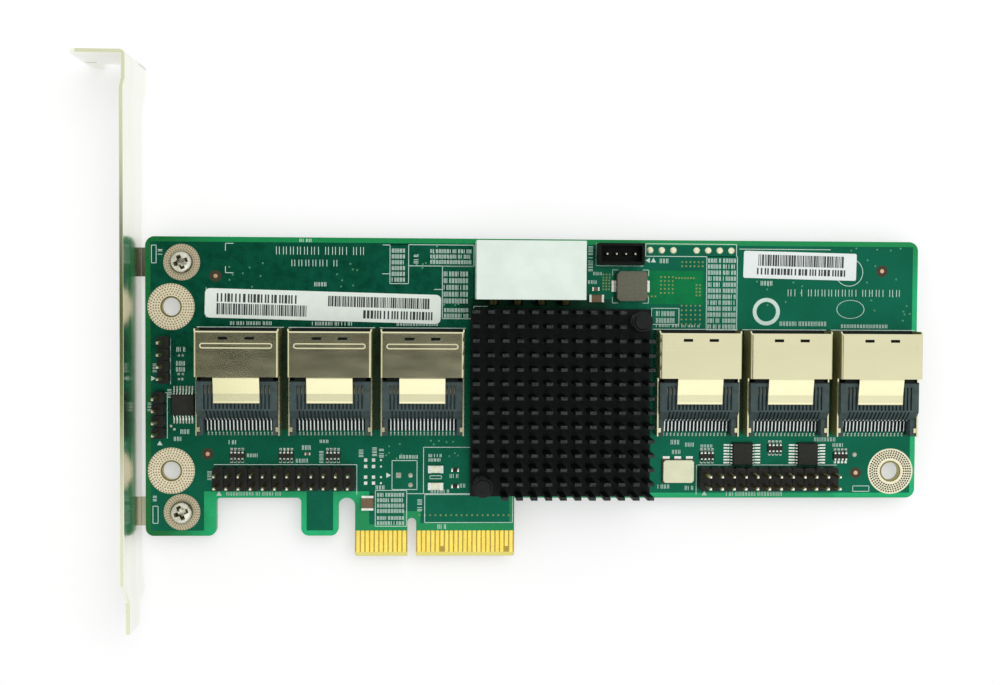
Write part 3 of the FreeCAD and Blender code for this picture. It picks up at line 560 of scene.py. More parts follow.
via_green = surface("via_under_resist", (0.10, 0.34, 0.17), 0.4, 0.2, vary=0.2, patch=0.4)
copper = surface("copper_dot", (0.74, 0.46, 0.29), 0.35, 0.7, vary=0.1, patch=0.4)
bare_ring = surface("bare_laminate", (0.034, 0.021, 0.005), 0.5, vary=0.15, patch=0.5)
hole_rim = surface("hole_rim", (0.20, 0.15, 0.05), 0.4, 0.5, vary=0.15, patch=0.5)
barrel_gold = surface("barrel_gold", (0.46, 0.36, 0.10), 0.35, 0.8, patch=0.6)
finger_bed = bare_fingers()
pour_green = surface("thin_pour", (0.002, 0.20, 0.06), 0.3, 0.15, vary=0.08, patch=2.5, gleam=0.1)


# CAD nodes that keep their shape

for node, look, bevel in (
        ("circuit_board", board_green, 0), ("edge_contacts", gold, 0), ("bracket", nickel, 0.08),
        ("expander_chip", substrate, 0), ("thermal_pad", soft_pad, 0), ("heat_sink", sink_black, 0.05),
        ("power_housing", white_nylon, 0.12), ("signal_housing", signal_plastic, 0.08),
        ("inductor_core", ferrite, 0.15), ("inductor_terminals", tin, 0.03),
        ("oscillator_carrier", ceramic, 0.04), ("oscillator_can", lid_metal, 0.08),
        ("resistor_networks", package, 0.04), ("capacitor_bodies", tan_ceramic, 0.05),
        ("capacitor_caps", tin, 0.05), ("status_lights", lens, 0.08)):
    dress(node, look, bevel)
for number in (1, 2, 3):
    dress(f"driver_chip_{number}", package, 0.05)


# Drive-cable ports

PORT_SHEET, ROOF_REAR, REAR_WALL = 0.3, 39.2, 4.5
SLOPE_START, SLOPE_FOOT, FLOOR_TOP = 32.0, 3.9, 0.9
CONTACT_COUNT, CONTACT_PITCH = 18, 0.8
LATCH_X, LATCH_Y, GROOVE_Y = 2.77, 47.39, 45.8
TONGUE_HALF, CLIP_X, CLIP_Y = 4.85, 8.32, 27.9
NOSE_HALF, NOSE_FRONT, SLIT_HALF = 7.6, 44.6, 7.2
CHEEK_HALF, UPPER_SLOT, LOWER_SLOT, LEG_HALF, TIP_HALF = 0.575, 0.19, 0.17, 0.13, 0.12


def row(count, pitch):
    return [(i - (count - 1) / 2) * pitch for i in range(count)]


def port_section(half, top, radius, base):
    """Across a port: upright sides and rounded shoulders."""
    right = arc(half - radius, top - radius, radius, 0, 90, 6)
    return [(half, base)] + right + [(-x, z) for x, z in reversed(right)] + [(-half, base)]


def stadium(length, width, y):
    """A slot's outline with round ends."""
    right = arc((length - width) / 2, y, width / 2, -90, 90, 8)
    return right + [(-x, v) for x, v in reversed(right)]


def port_shell():
    """Folded sheet: walls, roof with latch slots and a pressed groove, and the spring tongue behind."""
    outer = Form().prism(port_section(PORT_HALF, PORT_TOP, 0.55, 0), "y", PORT_REAR, PORT_MOUTH)
    past = PORT_MOUTH + 1
    side = [(PORT_REAR - 1, -1), (past, -1), (past, 5.5), (past - 2, 7.5), (ROOF_REAR, 7.5),
            (ROOF_REAR, REAR_WALL), (PORT_REAR - 1, REAR_WALL)]
    room = port_section(PORT_HALF - PORT_SHEET, PORT_TOP - PORT_SHEET, 0.25, -1)
    cuts = Form()
    for x in (-LATCH_X, LATCH_X):
        cuts.pad(x, LATCH_Y, 2.0, 0.62, 6.5, 8)
    groove = [(14.75, 0.7, PORT_TOP - 0.15), (15.3, 1.25, PORT_TOP + 0.02)]
    cuts.skin([[(x, y, z) for x, y in stadium(length, width, GROOVE_Y)] for length, width, z in groove])
    bend = [(ROOF_REAR + 0.4, 7.15), (39.0, 7.14), (38.6, 7.08), (38.2, 6.98), (36.0, 6.46), (35.7, 6.41),
            (35.3, 6.38), (34.1, 6.31), (33.85, 6.25), (33.72, 6.15)]
    tongue = Form().strip(bend, "x", -TONGUE_HALF, TONGUE_HALF, PORT_SHEET)
    for x in (-CLIP_X, CLIP_X):
        tongue.pad(x, CLIP_Y, 0.62, 0.95, SLOPE_FOOT, SLOPE_FOOT + 0.45)
    return carved(outer, [("INTERSECT", Form().prism(side, "x", -10, 10)),
                          ("DIFFERENCE", Form().prism(room, "y", PORT_REAR - 1, PORT_MOUTH + 1)),
                          ("DIFFERENCE", cuts), ("UNION", tongue)], bevel=0.04, smooth_angle=3)


def port_housing():
    """Moulded block with two rows of contact slots, floor, nose and cheeks."""
    body = Form().prism([(BLOCK_FRONT, 0), (BLOCK_FRONT, HOUSING_TOP), (SLOPE_START, HOUSING_TOP),
                         (BLOCK_REAR, SLOPE_FOOT), (BLOCK_REAR, 0)], "x", -HOUSING_HALF, HOUSING_HALF)
    floor = Form().box(-HOUSING_HALF, HOUSING_HALF, BLOCK_FRONT - 1, PORT_MOUTH, 0, FLOOR_TOP)
    nose = Form().box(-NOSE_HALF, NOSE_HALF, BLOCK_FRONT - 1, NOSE_FRONT, 1.5, 5.7)
    lower_slot = [(31.75, 6.6), (29.6, 4.1), (30.5, 3.3), (32.3, 5.5)]
    cheeks, slots = Form(), Form()
    # A thin plate of the housing under the legs; the moulding's painted shade makes it nearly black there.
    cheeks.box(-HOUSING_HALF, HOUSING_HALF, 27.4, BLOCK_REAR + 1, 0, 0.35)
    for side in (-1, 1):
        x = side * (HOUSING_HALF - CHEEK_HALF)
        cheeks.box(x - CHEEK_HALF, x + CHEEK_HALF, PORT_REAR, BLOCK_REAR + 1, 0, SLOPE_FOOT)
    for x in row(CONTACT_COUNT, CONTACT_PITCH):
        slots.box(x - UPPER_SLOT, x + UPPER_SLOT, 32.4, 37.4, 5.2, 7)
    for x in row(CONTACT_COUNT - 1, CONTACT_PITCH):
        slots.prism(lower_slot, "x", x - LOWER_SLOT, x + LOWER_SLOT)
    slots.box(-SLIT_HALF, SLIT_HALF, BLOCK_FRONT + 1.2, NOSE_FRONT + 0.4, 2.9, 4.3)
    steps = [("UNION", floor), ("UNION", nose), ("UNION", cheeks), ("DIFFERENCE", slots)]
    return carved(body, steps, bevel=0.05)


def port_contacts():
    """Legs that leave the block, bend twice and stand on the board."""
    leg = [(31.0, 3.42), (30.2, 3.42), (30.03, 3.3), (29.96, 3.0), (29.9, 2.1), (29.75, 1.8), (29.4, 1.66),
           (27.5, 1.3), (27.2, 0.7), (27.05, 0.22), (26.92, 0.1), (26.75, 0.08)]
    legs = Form()
    for x in row(CONTACT_COUNT, CONTACT_PITCH):
        legs.strip(leg, "x", x - LEG_HALF, x + LEG_HALF, 0.15)
    return legs.mesh("port_contacts", bevel=0.02)


def contact_tips():
    """Bowed ends of the contacts, low in the block's upper slots."""
    bow = [(35.6, 5.2), (36.1, 5.32), (36.6, 5.36), (37.1, 5.32), (37.38, 5.2)]
    tips = Form()
    for port in PORTS:
        for x in row(CONTACT_COUNT, CONTACT_PITCH):
            tips.strip(bow, "x", port + x - TIP_HALF, port + x + TIP_HALF, 0.1)
    return tips


shell_mesh, housing_mesh, contact_mesh = port_shell(), port_housing(), port_contacts()
for number, x in enumerate(PORTS, 1):
    for kind, mesh, look, slot in (("shell", shell_mesh, shell_steel, "port_shell_steel"),
                                   ("housing", housing_mesh, port_plastic, "port_plastic"),
                                   ("contacts", contact_mesh, leg_tin, "tinned_contact")):
        piece(f"port_{kind}_{number}_full", mesh, look, [f"port_{kind}_{number}"], at=(x, 0, 0))
piece("port_contact_tips", contact_tips(), tip_gold)


# Pin headers, power pins and the solder behind them

HEADER_PITCH, SIGNAL_PITCH, POWER_PITCH = 2.54, 2.0, 5.08
HEADER_PIN, SIGNAL_PIN, POWER_TAIL = 0.64, 0.5, 0.98
SHELL_TAB_X, SHELL_TABS_Y = 8.7, (30.6, 43.4)
joints = Form()


def joint(x, y, radius):
    """A soldered tail on the board's back."""
    cone = ((1.0, 0), (0.96, 0.12), (0.66, 0.55), (0.45, 1.0), (0.38, 1.35), (0.2, 1.45))
    joints.turned(x, y, [(radius * share, BACK - depth) for share, depth in cone], 16)


def square_pin(form, x, y, size, low, top):
    """A square pin with a blunt point."""
    point = size * 0.7
    form.skin([[(x + sx * w / 2, y + sy * w / 2, z) for sx, sy in CORNERS]
               for w, z in ((size, low), (size, top - point), (size * 0.55, top))])


def cut_corners(x, y, half_x, half_y, cut):
    return [(x + sx * (half_x - (0 if first else cut)), y + sy * (half_y - (cut if first else 0)))
            for sx, sy, first in ((1, -1, True), (1, 1, True), (1, 1, False), (-1, 1, False), (-1, 1, True),
                                  (-1, -1, True), (-1, -1, False), (1, -1, False))]


def header(name, columns, rows):
    """A row or two of pins in a housing notched between its cells."""
    x, y = middle(f"{name}_housing")
    height = reach(f"{name}_housing")[1][2]
    top = reach(f"{name}_pins")[1][2]
    gap, notch, pitch = 0.04, 0.38, HEADER_PITCH
    wide, deep = columns * pitch / 2, rows * pitch / 2
    housing, pins = Form(), Form()
    housing.box(x - wide + notch, x + wide - notch, y - deep + notch, y + deep - notch, 0, height - 0.35)
    for shift in row(max(columns, rows), pitch):
        if columns > rows:
            cell = cut_corners(x + shift, y, pitch / 2 - gap, deep, notch)
        else:
            cell = cut_corners(x, y + shift, wide, pitch / 2 - gap, notch)
        housing.prism(cell, "z", 0, height)
    for dx in row(columns, pitch):
        for dy in row(rows, pitch):
            square_pin(pins, x + dx, y + dy, HEADER_PIN, 0, top)
            joint(x + dx, y + dy, 0.85)
    piece(f"{name}_notched", housing, header_plastic, [f"{name}_housing"], bevel=0.06)
    gilt = pin_gold(f"{name}_gold", top)
    piece(f"{name}_pointed_pins", pins, gilt, [f"{name}_pins"], bevel=0.03)


for port in PORTS:
    for y in SHELL_TABS_Y:
        for dx in (-SHELL_TAB_X, SHELL_TAB_X):
            joint(port + dx, y, 0.8)
for name, columns, rows in (("drive_header_left", 12, 2), ("drive_header_right", 12, 2),
                            ("side_header_upper", 1, 4), ("side_header_lower", 1, 4)):
    header(name, columns, rows)


def signal_pins():
    (low_x, low_y, _), (high_x, high_y, top) = reach("signal_pins")
    pins = Form()
    for dx in row(4, SIGNAL_PITCH):
        x, y = (low_x + high_x) / 2 + dx, (low_y + high_y) / 2
        square_pin(pins, x, y, SIGNAL_PIN, 0, top)
        joint(x, y, 0.7)
    return pins


def power_pins():
    """Round pins in the connector's mouth, with square tails into the board."""
    x0, _ = middle("power_housing")
    (_, rear, _), (_, front, _) = reach("power_pins")
    z = reach("power_housing")[1][2] / 2
    pins = Form()
    profile = [(0.9, rear), (1.05, rear + 0.15), (1.05, front - 1.3), (0.8, front - 0.5), (0.45, front - 0.1),
               (0.25, front)]
    for dx in row(4, POWER_PITCH):
        x = x0 + dx
        pins.turned(x, z, profile, 24, "y")
        pins.pad(x, rear + 0.5, POWER_TAIL, POWER_TAIL, 0, z)
        joint(x, rear + 0.5, 1.25)
    return pins


signal_gold = pin_gold("signal_gold", reach("signal_pins")[1][2])
piece("signal_pointed_pins", signal_pins(), signal_gold, ["signal_pins"], bevel=0.03)
piece("power_round_pins", power_pins(), power_tin(), ["power_pins"], bevel=0.03)


# Screws, push pins and their springs

CROSS_TURN, PIN_NECK, SINK_BASE_TOP = 0.35, 1.3, 4.0


def bracket_screws():
    """Domed heads with a cross cut in them, and their shanks."""
    head, cross = Form(), Form()
    dome = [(SCREW_HEAD, 0.75), (2.38, 1.05), (2.2, 1.3), (1.85, 1.52), (1.4, 1.68), (0.9, 1.77), (0.4, 1.8)]
    profile = [(1.2, SCREW_FOOT), (1.5, SCREW_FOOT + 0.3), (1.5, 0.02), (SCREW_HEAD, 0.02)] + dome
    for y in SCREW_Y:
        head.turned(SCREW_X, y, profile, 40)
        for turn in (CROSS_TURN, CROSS_TURN + pi / 2):
            along = Vector((cos(turn), sin(turn)))
            across = Vector((-along.y, along.x))
            cross.skin([[tuple(Vector((SCREW_X, y)) + along * sx * length + across * sy * width) + (z,)
                         for sx, sy in CORNERS]
                        for length, width, z in ((0.85, 0.34, 0.3), (1.8, 0.5, 2.0))])
    return carved(head, [("DIFFERENCE", cross)], bevel=0.03, bevel_angle=50)


def push_pins():
    """Barbed pins, slit below the board, with a stepped head."""
    (_, _, tip), (_, _, top) = reach("push_pins")
    pins, slits = Form(), Form()
    profile = [(0.68, tip), (1.05, tip + 0.35), (1.85, BACK - 0.35), (1.85, BACK), (1.35, BACK),
               (1.35, top - PIN_NECK), (2.2, top - PIN_NECK), (2.2, top - 0.7), (2.1, top - 0.58),
               (1.72, top - 0.52), (1.65, top - 0.12), (1.5, top)]
    for x, y in PUSH_PINS:
        pins.turned(x, y, profile, 40)
        slits.pad(x, y, 0.5, 5, tip - 1, BACK)
    return carved(pins, [("DIFFERENCE", slits)], bevel=0.04, bevel_angle=50)


def springs():
    """Coils between the sink's base and the push pins' heads."""
    turns, steps, radius, wire = 5, 20, 1.8, 0.2
    low, high = SINK_BASE_TOP + wire, reach("push_pins")[1][2] - PIN_NECK - wire
    coils = Form()
    for x, y in PUSH_PINS:
        angles = [2 * pi * i / steps for i in range(turns * steps + 1)]
        rise = (high - low) / angles[-1]
        helix = [(x + radius * cos(a), y + radius * sin(a), low + rise * a) for a in angles]
        coils.tube(helix, wire)
    return coils


piece("bracket_cross_screws", bracket_screws(), zinc, ["bracket_screws"])
piece("push_pins_split", push_pins(), pin_plastic, ["push_pins"])
piece("push_pin_springs", springs(), spring_wire)


# Small parts on the board

LEAD_COUNT, LEAD_PITCH, LEAD_HALF, LEAD_LENGTH = 7, 0.65, 0.125, 1.1
LAND_LENGTH, LAND_WIDTH, NETWORK_PITCH, NETWORK_END = 1.3, 0.32, 0.8, 0.21
lands = Form()


def driver_leads(number):
    """Gull-wing leads on a driver chip's two sides, each on its land."""
    x0, y0 = middle(f"driver_chip_{number}")
    (low_x, low_y, _), (high_x, high_y, _) = reach(f"driver_leads_{number}")
    along_y = high_y - low_y > high_x - low_x
    foot = (high_y - low_y if along_y else high_x - low_x) / 2
    half = foot - LEAD_LENGTH
    bend = [(half - 0.15, 0.6), (half + 0.22, 0.6), (half + 0.36, 0.52), (half + 0.5, 0.18),
            (half + 0.62, 0.08), (foot, 0.075)]
    leads = Form()
    for side in (-1, 1):
        past_foot = side * (foot + 0.1)
        for shift in row(LEAD_COUNT, LEAD_PITCH):
            if along_y:
                axis, start, at = "x", y0, x0 + shift
                lands.pad(at, y0 + past_foot, LAND_WIDTH, LAND_LENGTH, 0, PAD)
            else:
                axis, start, at = "y", x0, y0 + shift
                lands.pad(x0 + past_foot, at, LAND_LENGTH, LAND_WIDTH, 0, PAD)
            leads.strip([(start + side * u, z) for u, z in bend], axis, at - LEAD_HALF, at + LEAD_HALF, 0.14)
    return leads


for number in (1, 2, 3):
    leads = driver_leads(number)
    piece(f"driver_bent_leads_{number}", leads, tin, [f"driver_leads_{number}"], bevel=0.02)


def network_ends():
    """Four soldered ends along each side of every resistor network."""
    ends = Form()
    slope = [(0.5, 0.58), (0.82, 0.58), (0.98, 0.36), (1.5, 0.07), (1.5, 0), (0.5, 0)]
    for x, y in NETWORKS:
        for at in (x + dx for dx in row(4, NETWORK_PITCH)):
            for side in (-1, 1):
                outline = [(y + side * u, z) for u, z in slope]
                ends.prism(outline, "x", at - NETWORK_END, at + NETWORK_END)
                lands.pad(at, y + side * 1.35, 0.5, 0.5, 0, 0.09)
    return ends


def chip(body, ends, x, y, length, width, height):
    """A small two-ended part; its body is a little slimmer than its end caps."""
    cap, slim = length * 0.22, 0.94
    for side in (-1, 1):
        ends.pad(x + side * (length - cap) / 2, y, cap, width, 0, height)
    body.pad(x, y, length - 2 * cap, width * slim, 0, height * slim)


small_tan, small_black, small_ends = Form(), Form(), Form()
chip(small_tan, small_ends, 39.6, 58.2, 1.6, 0.8, 0.7)
chip(small_tan, small_ends, -22.5, 22.3, 1.2, 0.6, 0.5)
for y in (18.8, 15.25):
    chip(small_black, small_ends, 9.35, y, 1.7, 0.8, 0.45)
piece("network_ends", network_ends(), tin, bevel=0.03)
piece("small_capacitors", small_tan, tan_ceramic, bevel=0.04)
piece("small_resistors", small_black, package, bevel=0.04)
piece("small_part_ends", small_ends, tin, bevel=0.04)

port_lands = Form()
for x in PORTS:
    for dx in row(CONTACT_COUNT, CONTACT_PITCH):
        port_lands.pad(x + dx, PORT_REAR - 0.15, 0.3, 0.36, 0, PAD)
oscillator_x, oscillator_y = middle("oscillator_carrier")
for dx in row(3, HEADER_PITCH):
    lands.pad(oscillator_x + dx, oscillator_y + 2.85, 1.5, 0.7, 0, PAD)
for x, size in ((-10.0, 0.7), (-8.3, 0.7), (-6.7, 0.4)):
    for y in (20.9, 19.5, 17.2, 15.9):
        lands.pad(x, y, size, size, 0, PAD)
for x, y in ((-50.0, 43.4), (-49.2, 43.4), (-50.1, 39.4), (-49.2, 39.4), (-50.0, 38.3), (-49.3, 38.3),
             (-51.7, 28.2), (-51.0, 27.5)):
    lands.disc(x, y, 0.28, 0, PAD, 12)
(light_left, light_low, _), (light_right, light_high, light_top) = reach("status_lights")
for y in (light_low + 0.75, light_high - 0.75):
    for x in (light_left + 0.3, light_right - 0.3):
        lands.pad(x, y, 0.72, 1.62, 0, light_top + 0.04)
piece("solder_lands", lands, tin)
piece("port_solder_lands", port_lands, solder)
piece("solder_joints", joints, solder)


# Board faces: planes, pads and vias

POUR = (51.0, 55.0, 63.2, 62.3)
PLANE_EDGE = [
    (-56.05, 67.8), (-56.05, 5.6), (-44.7, 5.6), (-44.7, 14.1), (-22.7, 14.1), (-22.7, 5.6), (-17.0, 5.6),
    (-17.0, 14.1), (-9.2, 14.1), (-9.2, 6.9), (-1.9, 6.9), (-1.9, 9.8), (1.9, 9.8), (1.9, 7.2), (21.2, 7.2),
    (21.2, 13.8), (109.4, 13.8), (109.4, 67.8)]
HOLE_RADIUS, HOLE_PAD, RIM, BORE, BARREL, PIN_BORE = 2.05, 5.0, 0.25, 2.0, 0.06, 1.6
FIDUCIALS = ((-42.2, 60.5), (-43.9, 22.2), (102.6, 62.5), (97.4, 18.2))
FIDUCIAL_DOT, FIDUCIAL_RING = 0.45, 1.25

drilled = [round_outline(x, y, HOLE_RADIUS) for x, y in HOLES]
drilled += [round_outline(SCREW_X, y, SCREW_BORE) for y in SCREW_Y]
drilled += [round_outline(x, y, PIN_BORE) for x, y in PUSH_PINS]
planes = Form()
planes.sheet([PLANE_EDGE] + drilled + [rect(*POUR)], 0, PLANE)
planes.sheet([PLANE_EDGE] + drilled, BACK - PLANE, BACK)
piece("copper_planes", planes, dark_green)
piece("thin_pour", Form().sheet([rect(*POUR)], 0, PLANE / 2), pour_green)

FINGER_TOP, KEY_HALF, BED, BED_FOOT = 5.5, 0.97, 0.01, 0.02
bed = Form()
for face, up in FACES:
    for outer, inner in ((TAB_LEFT, -KEY_HALF), (TAB_RIGHT, KEY_HALF)):
        bed.box(min(outer, inner), max(outer, inner), BEVEL_HEIGHT, FINGER_TOP, face, face + up * BED)
        corner = outer + copysign(TAB_CUT, inner - outer)
        slope = [(outer, BEVEL_HEIGHT), (outer, TAB_CUT), (corner, BED_FOOT), (inner, BED_FOOT),
                 (inner, BEVEL_HEIGHT)]
        bed.skin([[(x, y, face + up * (lift - BEVEL_DEPTH * (1 - y / BEVEL_HEIGHT))) for x, y in slope]
                  for lift in (0, BED)])
piece("finger_laminate", bed, finger_bed)

# Radii of the rings of vias round the holes at each end and round the screws
LEFT_RINGS, RIGHT_RINGS = (2.7, 3.25, 3.8, 4.35, 4.8), (3.05, 3.53, 4.01, 4.49)
SCREW_RINGS = (2.8, 3.28, 3.7)
pads, pad_dots, rims = Form(), Form(), Form()


def dot_rings(x, y, radii, low, high, pitch=0.62, size=0.17):
    """Rings of small vias round a hole."""
    for radius in radii:
        for dx, dy in round_outline(x, y, radius, round(2 * pi * radius / pitch)):
            pad_dots.disc(dx, dy, size, low, high, 6)


for z, up in FACES:
    for x, y in HOLES:
        pads.washer(x, y, HOLE_RADIUS, HOLE_PAD, z, z + up * PAD)
        rims.washer(x, y, HOLE_RADIUS, HOLE_RADIUS + RIM, z, z + up * SILK)
        if x < 0:
            dot_rings(x, y, LEFT_RINGS, z, z + up * SILK)
        else:
            dot_rings(x, y, RIGHT_RINGS, z, z + up * SILK, 0.56, 0.21)
    for y in SCREW_Y:
        pads.washer(SCREW_X, y, SCREW_BORE, SCREW_PAD, z, z + up * PAD)
        dot_rings(SCREW_X, y, SCREW_RINGS, z, z + up * SILK, 0.56, 0.15)
piece("ground_pads", pads, pad_cream)
piece("ground_pad_vias", pad_dots, pad_dot)
piece("hole_rims", rims, hole_rim)
barrels = Form()
for x, y in HOLES:
    barrels.washer(x, y, BORE - BARREL, BORE, BACK, 0)
piece("hole_barrels", barrels, barrel_gold)

dots, rings = Form(), Form()
for x, y in FIDUCIALS:
    rings.washer(x, y, FIDUCIAL_DOT, FIDUCIAL_RING, 0, PAD)
    dots.disc(x, y, FIDUCIAL_DOT, 0, PAD, 20)
piece("fiducial_dots", dots, copper)
piece("fiducial_rings", rings, bare_ring)

# Each field: left, right, low, high and count. Each grid: left, top, columns, rows and step
VIA_FIELDS = (
    (-40, -32, 58, 63.5, 9), (-16.5, -9.5, 58.3, 64.2, 8), (0.8, 5.2, 62.2, 67.2, 12),
    (6.5, 10, 54.4, 54.9, 4), (94.4, 107, 66.9, 67.6, 8), (98.5, 107, 53, 65, 8), (107, 109, 51, 55.5, 5),
    (74.5, 86, 53.7, 60.3, 10), (-6, 0, 21, 25, 9), (4, 9, 24.3, 25.2, 6), (8, 12, 20.6, 22.4, 4))
VIA_GRIDS = (
    (53.9, 60.9, 4, 5, 0.86), (57.2, 60.7, 7, 1, 0.65), (61.7, 59.2, 2, 4, 0.75), (58.5, 64.2, 6, 2, 0.9),
    (58.5, 54.7, 5, 5, 1.0), (51.1, 56.7, 3, 1, 0.8), (41.3, 61.4, 3, 2, 0.7), (41.3, 60.1, 3, 4, 0.65),
    (1.7, 8.9, 18, 1, 1.14))
VIA_RADIUS, OPEN_VIA_RADIUS, VIA_ROOM = 0.2, 0.21, 0.6
vias, open_vias = Form(), Form()
chance = random.Random(11)


def via_field(x0, x1, y0, y1, count):
    """Vias strewn over part of the board, none upon another."""
    placed = []
    for _ in range(count):
        x, y = chance.uniform(x0, x1), chance.uniform(y0, y1)
        if all(hypot(x - u, y - v) > VIA_ROOM for u, v in placed):
            placed.append((x, y))
            for z, up in FACES:
                vias.disc(x, y, VIA_RADIUS, z, z + up * VIA, 10)


def via_grid(x, y, columns, rows, step):
    for i in range(columns):
        for j in range(rows):
            for z, up in FACES:
                open_vias.disc(x + i * step, y - j * step, OPEN_VIA_RADIUS, z, z + up * VIA, 10)


for field in VIA_FIELDS:
    via_field(*field)
for grid in VIA_GRIDS:
    via_grid(*grid)
piece("vias", vias, via_green)
piece("open_vias", open_vias, via_tan)

FILLED_X, FILLED_Y = 51.48, 66.7
mound = [(0.74, 0), (0.7, 0.08), (0.52, 0.22), (0.24, 0.3)]
through = Form()
for i in (0, 1, 2, 4, 5, 6, 7):
    through.turned(FILLED_X + HEADER_PITCH * i, FILLED_Y, mound, 24)
piece("filled_holes", through, pad_cream)

plugged = Form()
for x, y in ((-0.3, 17.6), (-0.3, 15.5), (97.1, 22.2)):
    plugged.turned(x, y, [(0.54, 0), (0.5, 0.05), (0.38, 0.12), (0.18, 0.15)], 24)
plugged.pad(-2.9, 17.6, 1.1, 1.1, 0, PAD)
piece("plugged_holes", plugged, solder)


# White print

# Rows of bars for lettering: left, low, count of letters, height of all rows and, in lists, their count
WORDS = (
    (-24.3, 67.9, 4, 0.7), (-21.1, 58.4, 4, 0.9), (-39.1, 50, 13, 0.8), (-21.6, 50, 13, 0.8),
    (-3.4, 50, 13, 0.8), (52.9, 50, 14, 0.5), (80.1, 50.4, 15, 1), (93.7, 50, 15, 0.8), (39.1, 61.2, 3, 0.7),
    (53.6, 63.9, 3, 1), (38, 59.3, 3, 0.8), (75.8, 59.2, 4, 1), (-39.4, 24.3, 3, 0.9), (-35.5, 21.5, 4, 0.8),
    (-25, 20.3, 4, 0.9), (-23.7, 23.1, 3, 1), (-19.9, 24.6, 3, 0.7), (-39.9, 13.2, 17, 0.8),
    (-2.7, 21.2, 6, 0.8), (5.6, 5.9, 3, 1), (-7.8, 14.5, 3, 0.9), (8.2, 17, 3, 0.9), (10.4, 14.9, 2, 0.9),
    (4.1, 13.8, 6, 0.7), (68.7, 13.1, 18, 0.9), (53.6, 14.7, 4, 0.9), (59.6, 14.4, 3, 0.9),
    (56.7, 22.3, 3, 0.9), (59.6, 23.9, 3, 0.9), (56.4, 24.4, 3, 1), (63, 23.7, 4, 0.7), (92.2, 23.9, 4, 0.8),
    (88.1, 25.1, 7, 0.9), (-50.5, 44.2, 3, 1), (-50.6, 41.2, 3, 1), (-50.6, 39.9, 3, 1), (-49.7, 26.5, 3, 1),
    (-51.1, 25, 3, 0.9))
TITLES = ((-29.3, 65.2, 13, 1.7), (-26, 62.7, 7, 1.4), (81.8, 56.9, 17, 1.5))
LISTS = (
    (-4.5, 59.5, 5, 7.5, 6), (3.8, 63.4, 15, 3.5, 3), (6.7, 54.9, 9, 7.3, 5), (6.8, 51.8, 9, 2.4, 2),
    (-7.5, 9.4, 10, 4.7, 4), (-7.5, 6.8, 10, 2.2, 2), (3.6, 20.6, 5, 1.9, 2), (52.9, 50.9, 7, 3, 2),
    (64.2, 49.7, 5, 15.7, 12), (67.5, 49.7, 5, 15.7, 12))
UPRIGHT_WORDS = (
    (0.2, 63.5, 3, 1), (38, 62.1, 8, 1), (-20, 20.3, 4, 0.9), (-44, 16.6, 3, 1), (1.2, 9.8, 4, 1),
    (-11.5, 21.6, 3, 1), (-8.6, 21.8, 3, 1), (-7.1, 21.5, 3, 1), (-52.5, 34.3, 3, 0.9), (-55.6, 39.8, 3, 0.9),
    (-56.7, 31.4, 3, 0.8), (-54.45, 65, 2, 0.95), (-55.6, 12, 2, 0.8))

# Frames and corner marks are left, right, low and high; rings end with two radii and a flatness
FRAMES = (
    (-55.8, -54.8, 63.2, 67.0), (-55.6, -54.5, 7.2, 10.9), (-4.3, 1.1, 14.5, 20.8), (2.8, 21.9, 7.3, 13.4),
    (-7.9, -1.1, 6.5, 14.3), (50.5, 70.4, 65.4, 68.1), (-4.9, -0.9, 59.1, 67.5), (6.4, 13.2, 51.6, 62.9),
    (51.9, 57.9, 50.6, 54.1), (63.9, 70.6, 49.4, 65.4), (96.8, 100.4, 14.1, 15.3), (3.9, 6.4, 16.85, 17.5))
LEVEL_LINES = (
    (-4.9, 13.2, 67.5), (-0.9, 13.2, 62.95), (-6.5, -4.9, 67.4), (-6.6, -5.0, 61.2), (4.6, 6.3, 57.9),
    (13.2, 16.2, 54.3), (2.5, 12.8, 23.7), (-1.0, 12.8, 13.6), (39.7, 50.0, 63.25), (71.0, 91.1, 67.1),
    (-42.6, -11.9, 19.9), (62.3, 93.2, 19.9), (-54.5, -51.8, 47.1), (-55.5, -52.5, 35.4),
    (-40.1, -38.4, 67.5), (-40.1, -38.4, 61.2))
UPRIGHT_LINES = (
    (13.2, 54.3, 67.5), (2.5, 13.6, 23.7), (39.7, 63.25, 68.2), (-11.9, 13.4, 19.9), (62.1, 13.4, 19.9),
    (-51.8, 37.2, 47.1), (-52.5, 25.5, 35.4), (-40.1, 65.9, 67.5), (-40.1, 61.2, 62.6), (-44.2, 56.6, 58.0),
    (-44.2, 51.6, 52.4))
TRIANGLES = (
    (-41.5, 13.5, 0.5), (63.9, 13.55, 0.5), (52.2, 64.4, 0.5), (51.1, 64.5, 1.0), (-5.2, 17.6, 0.0),
    (-54.1, 24.4, 0.5), (-55.6, 38.45, 0.0))
RINGS = ((77.1, 53.5, 2.15, 3.0, 1.0), (95.7, 54.1, 2.95, 3.08, 0.66), (95.3, 62.2, 2.95, 3.08, 1.0))
INDUCTOR_MARKS, MARK_ARM = (43.3, 51.2, 55.2, 62.4), 1.3
PRINT_LINE, TRIANGLE_SIZE = 0.13, 0.65
NAME_LINE_HALF, NAME_LINE_Y = 9.3, 49.55


